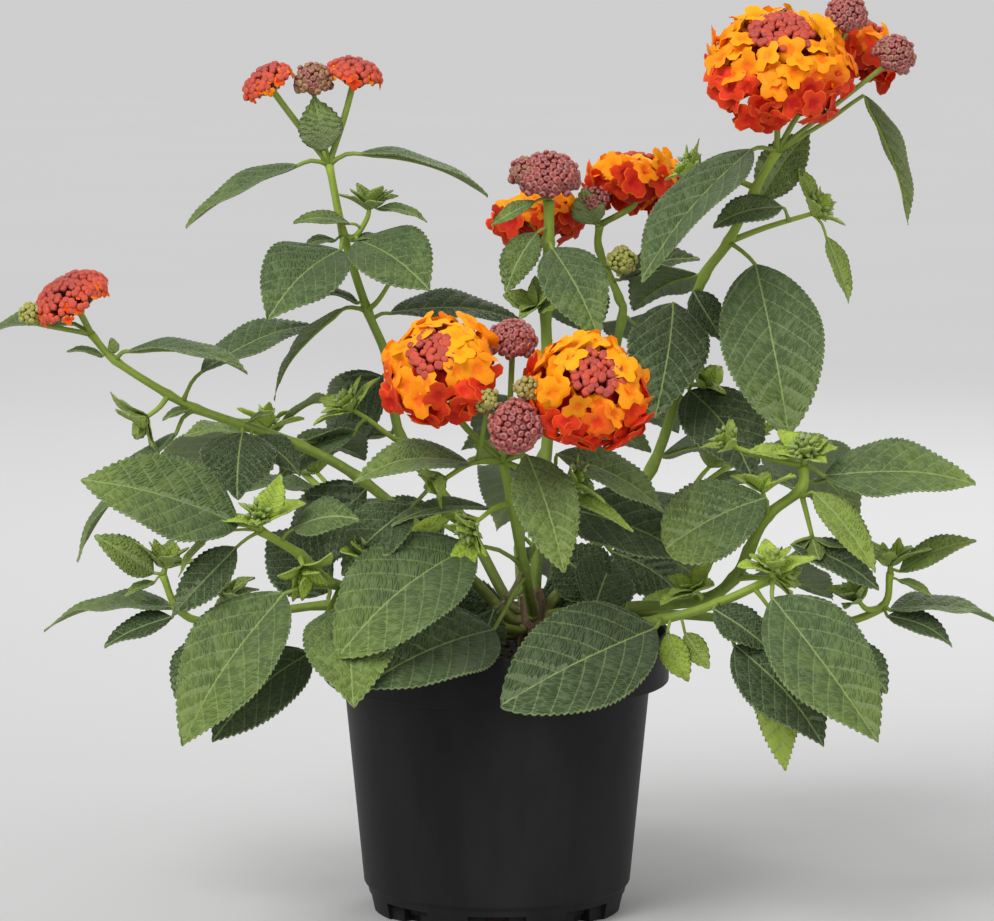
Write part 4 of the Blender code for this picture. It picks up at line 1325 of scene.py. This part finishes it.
def half_open_head(name, foot, axis, radius, height):
    """Coral buds close together on a flat-topped head, with small florets opening round its edge."""
    draw = random.Random(name)
    seat = foot + axis * (0.3 * height)
    wide, tall = radius - 1.0, height * 0.5
    last = math.radians(84)
    buds = new_mesh()
    model = bud_model(buds, depth=0.55 * wide)
    count = round(dome_area(wide, tall, 0.0, last) / CORAL_BUD_AREA)
    for place, angle in dome(seat, axis, wide, tall, count, 0.0, last, draw):
        hue = min(1.0, 0.72 + 0.3 * angle / last + draw.uniform(-0.08, 0.08))
        lift = Matrix.Translation((0, 0, draw.uniform(-0.5, 0.8)))
        stamp(buds, model, place @ lift @ spin_about_z(draw) @ Matrix.Scale(draw.uniform(1.1, 1.5), 4), hue)
    forget(buds, [model])
    florets = new_mesh()
    models = [floret_model(florets, depth=2.4, draw=draw) for _ in range(3)]
    for place, _ in dome(seat, axis, wide, tall, round(wide * 1.6), last * 0.7, last * 1.15, draw):
        scale = Matrix.Scale(draw.uniform(2.0, 3.3), 4)
        stamp(florets, draw.choice(models), place @ spin_about_z(draw) @ scale, draw.uniform(0.2, 0.7))
    forget(florets, models)
    return florets, buds


def aim_at(thing, target):
    thing.rotation_euler = (Vector(target) - thing.location).to_track_quat("-Z", "Y").to_euler()


def add_light(name, kind, place, size, power):
    """A lamp that looks at the plant; a disc's size is in metres and a distant light's is an angle."""
    data = bpy.data.lights.new(name, kind)
    if kind == "SUN":
        data.angle = size
    else:
        data.shape = "DISK"
        data.size = size
    data.energy = power
    light = bpy.data.objects.new(name, data)
    bpy.context.scene.collection.objects.link(light)
    light.location = place
    aim_at(light, CAMERA_AIM)


class LANTANA_OT_stage(bpy.types.Operator):
    """Camera, soft lights, even room light and a pale floor"""

    bl_idname = "lantana.stage"
    bl_label = "Stage"

    def execute(self, context):
        looks = context.scene.lantana_stage
        data = bpy.data.cameras.new("photo_view")
        data.sensor_width = SENSOR
        data.lens = FOCAL_PIXELS / PHOTO_WIDTH * SENSOR
        camera = bpy.data.objects.new("photo_view", data)
        context.scene.collection.objects.link(camera)
        camera.location = CAMERA_PLACE
        aim_at(camera, CAMERA_AIM)
        context.scene.camera = camera
        context.scene.view_settings.view_transform = "Standard"
        add_light("key_light", "SUN", (-0.8, -1.1, 1.5), math.radians(35), looks.key)
        add_light("fill_light", "AREA", (1.1, -1.0, 0.6), 0.9, looks.fill)
        add_light("back_light", "AREA", (0.4, 1.1, 0.9), 0.7, looks.rim)
        world = bpy.data.worlds.new("studio")
        world.use_nodes = True
        room = world.node_tree.nodes["Background"]
        room.inputs["Color"].default_value = (1.0, 1.0, 1.0, 1.0)
        room.inputs["Strength"].default_value = looks.sky
        context.scene.world = world
        bm = bmesh.new()
        bmesh.ops.create_circle(bm, cap_ends=True, segments=96, radius=6.0)
        mesh = bpy.data.meshes.new("studio_floor")
        bm.to_mesh(mesh)
        bm.free()
        mesh.materials.append(finish_once("studio_floor", studio_floor))
        floor = bpy.data.objects.new("studio_floor", mesh)
        context.scene.collection.objects.link(floor)
        return {"FINISHED"}


def body_inner(z):
    """Radius of the inside of the pot's body at height z."""
    share = (z - FOOT_HEIGHT) / (POT_HEIGHT - RIM_BAND - FOOT_HEIGHT)
    return BODY_BOTTOM_RADIUS + share * (BODY_TOP_RADIUS - BODY_BOTTOM_RADIUS) - WALL


def inner_outline(slack):
    """The inside of the pot from the middle of its floor to its rim, moved in and up by the slack."""
    ledge = POT_HEIGHT - RIM_BAND
    foot = FOOT_RADIUS - FOOT_WALL
    rim = RIM_RADIUS - WALL
    outline = (
        (foot, FLOOR),
        (foot, FOOT_HEIGHT - SHOULDER),
        (body_inner(FOOT_HEIGHT), FOOT_HEIGHT + SHOULDER),
        (body_inner(ledge), ledge + WALL),
        (rim, ledge + WALL),
    )
    return [(0, FLOOR + slack), *((r - slack, z + slack) for r, z in outline)]


def turned(bm, profile, steps, rounding=0.0):
    """A closed body turned round +Z from (radius, height) points, its corners rounded first if asked."""
    verts = [bm.verts.new((radius, 0, height)) for radius, height in profile]
    for first, second in zip(verts, verts[1:]):
        bm.edges.new((first, second))
    if rounding:
        bmesh.ops.bevel(bm, geom=verts[1:-1], offset=rounding, offset_type="OFFSET", segments=3,
                        affect="VERTICES", profile=0.5, material=-1)
    outline = list(bm.verts) + list(bm.edges)
    bmesh.ops.spin(bm, geom=outline, cent=(0, 0, 0), axis=(0, 0, 1), angle=math.tau, steps=steps,
                   use_merge=True)
    bmesh.ops.remove_doubles(bm, verts=bm.verts, dist=0.001)
    bmesh.ops.recalc_face_normals(bm, faces=bm.faces)


def ring_of_boxes(inner, width, height):
    """Equal boxes round the foot, one at the front, from the inner radius out past the foot."""
    depth = BODY_BOTTOM_RADIUS + CUT_OVERRUN - inner
    bm = bmesh.new()
    for number in range(DRAIN_COUNT):
        turn = math.tau * number / DRAIN_COUNT - math.pi / 2
        box = bmesh.ops.create_cube(bm, size=1.0)["verts"]
        bmesh.ops.scale(bm, vec=(depth, width, 2 * height), verts=box)
        bmesh.ops.translate(bm, vec=(inner + depth / 2, 0, 0), verts=box)
        bmesh.ops.rotate(bm, cent=(0, 0, 0), matrix=Matrix.Rotation(turn, 3, "Z"), verts=box)
    return bm


def cut(piece, cutter_mesh):
    """Takes the cutter's shape out of the piece for good."""
    mesh = bpy.data.meshes.new("cutter")
    bmesh.ops.scale(cutter_mesh, vec=(MM, MM, MM), verts=cutter_mesh.verts)
    cutter_mesh.to_mesh(mesh)
    cutter_mesh.free()
    cutter = bpy.data.objects.new("cutter", mesh)
    bpy.context.scene.collection.objects.link(cutter)
    change = piece.modifiers.new("Cut", "BOOLEAN")
    change.operation = "DIFFERENCE"
    change.solver = "EXACT"
    change.object = cutter
    graph = bpy.context.evaluated_depsgraph_get()
    result = bpy.data.meshes.new_from_object(piece.evaluated_get(graph))
    piece.modifiers.clear()
    piece.data = result
    bpy.data.objects.remove(cutter, do_unlink=True)


class LANTANA_OT_pot(bpy.types.Operator):
    """The black nursery pot, with its rim band, stepped foot and drain holes"""

    bl_idname = "lantana.pot"
    bl_label = "Pot"

    def execute(self, context):
        ledge = POT_HEIGHT - RIM_BAND
        profile = (
            *inner_outline(0),
            (RIM_RADIUS - WALL, POT_HEIGHT),
            (RIM_RADIUS, POT_HEIGHT),
            (RIM_RADIUS - BAND_TAPER, ledge),
            (BODY_TOP_RADIUS, ledge),
            (BODY_BOTTOM_RADIUS, FOOT_HEIGHT),
            (BODY_BOTTOM_RADIUS - STEP_ROUNDING, FOOT_HEIGHT - STEP_ROUNDING),
            (FOOT_RADIUS, 0),
            (0, 0),
        )
        bm = new_mesh()
        turned(bm, profile, context.scene.lantana_pot.turns, EDGE_ROUNDING)
        pot = add_piece(bm, "black_nursery_pot", (("matt_plastic", matt_plastic),), ("nursery_pot",))
        cut(pot, ring_of_boxes(FOOT_RADIUS - RECESS_DEPTH, RECESS_WIDTH, RECESS_HEIGHT))
        cut(pot, ring_of_boxes(FOOT_RADIUS - FOOT_WALL - CUT_OVERRUN, DRAIN_WIDTH, DRAIN_HEIGHT))
        pot.data.shade_smooth()
        pot.data.set_sharp_from_angle(angle=math.radians(32))
        return {"FINISHED"}


def soil_height(x, y):
    """Height of the uneven top of the potting mix."""
    away = math.hypot(x, y)
    fall = SOIL_DOME * min(1.0, max(0.0, (away - FLAT_RADIUS) / (SLOPE_RADIUS - FLAT_RADIUS)))
    rough = noise.fractal(Vector((x, y, 3.0)) * 0.11, 0.7, 2.1, 4) * 1.1
    return SOIL_TOP + SOIL_DOME - fall + rough * min(1.0, (RIM_RADIUS - away) / 4)


class LANTANA_OT_soil(bpy.types.Operator):
    """The dark potting mix that fills the pot, with crumbs lying on it"""

    bl_idname = "lantana.soil"
    bl_label = "Potting mix"

    def execute(self, context):
        draw = random.Random("potting mix")
        outer = RIM_RADIUS - WALL - SOIL_SLACK
        top = [(outer * ring / SOIL_RINGS, SOIL_TOP) for ring in range(SOIL_RINGS + 1)]
        bm = new_mesh()
        turned(bm, (*top, *reversed(inner_outline(SOIL_SLACK))), steps=96)
        for vert in bm.verts:
            if vert.co.z > SOIL_TOP - 0.1:
                vert.co.z = soil_height(vert.co.x, vert.co.y)
        for _ in range(context.scene.lantana_pot.crumbs):
            away, turn = outer * math.sqrt(draw.uniform(0, 0.93)), draw.uniform(0, math.tau)
            x, y = away * math.cos(turn), away * math.sin(turn)
            size = draw.uniform(0.5, 1.7)
            crumb = bmesh.ops.create_icosphere(bm, subdivisions=1, radius=size)["verts"]
            for vert in crumb:
                vert.co *= draw.uniform(0.65, 1.2)
            bmesh.ops.scale(bm, vec=(draw.uniform(0.6, 1.5), 1.0, draw.uniform(0.4, 0.9)), verts=crumb)
            spin = Matrix.Rotation(draw.uniform(0, 3), 3, "Z")
            bmesh.ops.rotate(bm, cent=(0, 0, 0), matrix=spin, verts=crumb)
            bmesh.ops.translate(bm, vec=(x, y, soil_height(x, y) + 0.15 * size), verts=crumb)
        add_piece(bm, "potting_mix", (("damp_soil", damp_soil),), ("potting_soil",), sharp=50)
        return {"FINISHED"}


class LANTANA_OT_crown(bpy.types.Operator):
    """The woody base that the stems grow from"""

    bl_idname = "lantana.crown"
    bl_label = "Woody crown"

    def execute(self, context):
        route = smooth_points(CROWN_POINTS, parts=10)
        share = [step / (len(route) - 1) for step in range(len(route))]
        low, middle, high = CROWN_RADII
        radii = [low + (middle - low) * 2 * s if s < 0.5 else middle + (high - middle) * (2 * s - 1)
                 for s in share]
        radii[0] *= 1.25
        bm = new_mesh()
        verts = sweep(bm, route, radii, sides=32, tones=(0, 0))
        for vert in verts:
            lump = noise.fractal(vert.co * 0.16, 0.6, 2.2, 4) * 0.9
            centre = nearest(route, vert.co)
            vert.co += (vert.co - centre).normalized() * lump
        add_piece(bm, "bark_crown", (("woody_bark", woody_bark),), ("woody_crown",))
        return {"FINISHED"}


def stem_radii(stem, route):
    """Radius at each point of the route, with a swelling at every node."""
    points, root, tip = STEMS[stem]
    last = len(route) - 1
    radii = []
    for step, place in enumerate(route):
        plain = root + (tip - root) * step / last
        off = min((place - Vector(point)).length for point in points[1:])
        radii.append(plain * (1 + 0.26 * math.exp(-(off / 2.2) ** 2)))
    return radii


class LANTANA_OT_stems(bpy.types.Operator):
    """The squarish green stems, brown at the root and swollen where leaves join"""

    bl_idname = "lantana.stems"
    bl_label = "Stems"

    def execute(self, context):
        for stem, (points, *_) in STEMS.items():
            inside_crown = Vector(CROWN_POINTS[1]).lerp(Vector(points[0]), 0.45)
            route = smooth_points([inside_crown, *points])
            bm = new_mesh()
            sweep(bm, route, stem_radii(stem, route), sides=16, tones=(0.12, 0.85), square=0.09)
            add_piece(bm, f"{stem}_skin", (("green_stem", green_stem),), (stem,))
        return {"FINISHED"}


class LANTANA_OT_leaves(bpy.types.Operator):
    """The main leaves, toothed and quilted, each on its stalk"""

    bl_idname = "lantana.leaves"
    bl_label = "Main leaves"

    def execute(self, context):
        for leaf, (stem, index, foot, tip, width, face, arch, age) in LEAVES.items():
            blade = Blade(foot, tip, width, face, arch, leaf, BLUNT_LEAVES.get(leaf, BLADE_FALL))
            bm = new_mesh()
            # The tip tone, higher than the blade's, is partly painted light on the tip.
            add_leaf(bm, stem_point(stem, index), blade, tooth_rows=4, columns=20, tone=age - 0.03,
                     tip_tone=age + 0.15)
            add_piece(bm, f"{leaf}_blade", LEAF_FINISHES, (leaf,))
        return {"FINISHED"}


class LANTANA_OT_small_leaves(bpy.types.Operator):
    """The smaller leaves along each stem"""

    bl_idname = "lantana.small_leaves"
    bl_label = "Smaller leaves"

    def execute(self, context):
        for stem, leaves in SMALL_LEAVES.items():
            carriers = carrier_points(stem)
            bm = new_mesh()
            for number, (index, foot, tip, width, face, age) in enumerate(leaves):
                node = stem_point(stem, index)
                foot, tip = node + Vector(foot), node + Vector(tip)
                blade = Blade(foot, tip, width, face, arch=0.08, seed=f"{stem} {number}")
                start = nearest(carriers, blade.foot)
                tooth_rows, columns = (3, 14) if width > 16 else (2, 8)
                petiole = PETIOLE_RADIUS * min(1.0, 0.45 + width / 40)
                add_leaf(bm, start, blade, tooth_rows, columns, age, age + 0.08, petiole)
            add_piece(bm, stem.replace("_stem", "_small_leaves"), LEAF_FINISHES)
        return {"FINISHED"}


class LANTANA_OT_shoots(bpy.types.Operator):
    """The young shoots with their knots of green buds"""

    bl_idname = "lantana.shoots"
    bl_label = "Young shoots"

    def execute(self, context):
        for stem, shoots in SHOOTS.items():
            bm = new_mesh()
            for number, (index, offsets, leaves, buds, age) in enumerate(shoots):
                add_shoot(bm, stem_point(stem, index), offsets, leaves, buds, age, f"{stem} shoot {number}")
            add_piece(bm, stem.replace("_stem", "_shoots"), LEAF_FINISHES)
        return {"FINISHED"}


class LANTANA_OT_heads(bpy.types.Operator):
    """The flower and bud heads, each on its stalk"""

    bl_idname = "lantana.heads"
    bl_label = "Flower heads"

    def execute(self, context):
        for head, (kind, stem, index, stalk, foot, axis, radius, height) in HEADS.items():
            draw = random.Random(f"{head} bracts")
            foot, axis = Vector(foot), Vector(axis).normalized()
            green = new_mesh()
            seat = foot + axis * (height * 0.12)
            add_stalk(green, stem_point(stem, index), stalk, foot, axis, radius=1.05, reach=height * 0.35)
            add_bracts(green, seat, axis, count=10, length=4 + radius * 0.18, draw=draw)
            if kind == "bud":
                buds = bud_head(head, foot, axis, radius, height, BUD_HUE)
                add_piece(buds, f"{head}_buds", BUD_FINISHES, (head,))
            else:
                make = open_head if kind == "open" else half_open_head
                florets, buds = make(head, foot, axis, radius, height)
                add_piece(florets, f"{head}_florets", PETAL_FINISHES, (head,), sharp=70)
                add_piece(buds, f"{head}_buds", BUD_FINISHES)
            add_piece(green, f"{head}_stalk", LEAF_FINISHES)
        return {"FINISHED"}


class LANTANA_OT_small_heads(bpy.types.Operator):
    """The small heads of closed buds"""

    bl_idname = "lantana.small_heads"
    bl_label = "Small bud heads"

    def execute(self, context):
        for stem, heads in SMALL_HEADS.items():
            carriers = carrier_points(stem)
            green = new_mesh()
            for number, (index, offset, axis, radius, height, hue) in enumerate(heads):
                name = f"{stem.replace('_stem', '')}_small_head_{number + 1}"
                draw = random.Random(name)
                axis = Vector(axis).normalized()
                foot = stem_point(stem, index) + Vector(offset)
                start = nearest(carriers, foot)
                seat = foot + axis * (height * 0.1)
                add_stalk(green, start, (), foot, axis, radius=0.8, reach=height * 0.35)
                add_bracts(green, seat, axis, count=8, length=3 + radius * 0.3, draw=draw)
                buds = bud_head(name, foot, axis, radius, height, hue * BUD_HUE)
                add_piece(buds, name, BUD_FINISHES)
            add_piece(green, stem.replace("_stem", "_small_head_stalks"), LEAF_FINISHES)
        return {"FINISHED"}


class LANTANA_OT_dried_flower(bpy.types.Operator):
    """The dried stalk of a flower that has dropped, low on the front stem"""

    bl_idname = "lantana.dried_flower"
    bl_label = "Dried flower"

    def execute(self, context):
        draw = random.Random("dried flower")
        start = stem_point(DRIED_STEM, DRIED_POINT)
        foot, axis = start + Vector(DRIED_FOOT), Vector(DRIED_AXIS).normalized()
        bm = new_mesh()
        route = smooth_points([start, start.lerp(foot, 0.5) + Vector((0, 0, -1)), foot], parts=4)
        sweep(bm, route, [DRIED_RADIUS] * len(route))
        for place, _ in dome(foot, axis, 6.0, 5.0, DRIED_SPOKES, first=0.2, last=1.4, draw=draw):
            end = place.translation
            middle = foot.lerp(end, 0.5) + Vector((0, 0, -0.5))
            sweep(bm, smooth_points([foot, middle, end], parts=3), SPOKE_RADII, sides=6)
        add_piece(bm, "dried_flower_stalk", (("dry_stalk", dry_stalk),))
        return {"FINISHED"}


OPERATORS = (LANTANA_OT_stage, LANTANA_OT_pot, LANTANA_OT_soil, LANTANA_OT_crown, LANTANA_OT_stems,
             LANTANA_OT_leaves, LANTANA_OT_small_leaves, LANTANA_OT_shoots, LANTANA_OT_heads,
             LANTANA_OT_small_heads, LANTANA_OT_dried_flower)
LOOKS = {"lantana_pot": PotLooks, "lantana_leaf": LeafLooks, "lantana_flower": FlowerLooks,
         "lantana_stage": StageLooks}


class LANTANA_PT_sidebar(bpy.types.Panel):
    """Lists the plant's pieces and their looks"""

    bl_idname = "LANTANA_PT_sidebar"
    bl_label = "Potted lantana"
    bl_space_type = "VIEW_3D"
    bl_region_type = "UI"
    bl_category = "Lantana"

    def draw(self, context):
        for made in OPERATORS:
            self.layout.operator(made.bl_idname)
        for name, group in LOOKS.items():
            box = self.layout.box()
            for prop in group.__annotations__:
                box.prop(getattr(context.scene, name), prop)


def register():
    for group in LOOKS.values():
        bpy.utils.register_class(group)
    for made in (*OPERATORS, LANTANA_PT_sidebar):
        bpy.utils.register_class(made)
    for name, group in LOOKS.items():
        setattr(bpy.types.Scene, name, PointerProperty(type=group))


def unregister():
    for name in LOOKS:
        delattr(bpy.types.Scene, name)
    for made in reversed((*LOOKS.values(), *OPERATORS, LANTANA_PT_sidebar)):
        bpy.utils.unregister_class(made)


def main():
    register()
    for made in OPERATORS:
        group, name = made.bl_idname.split(".")
        getattr(getattr(bpy.ops, group), name)()


if __name__ == "__main__":
    main()
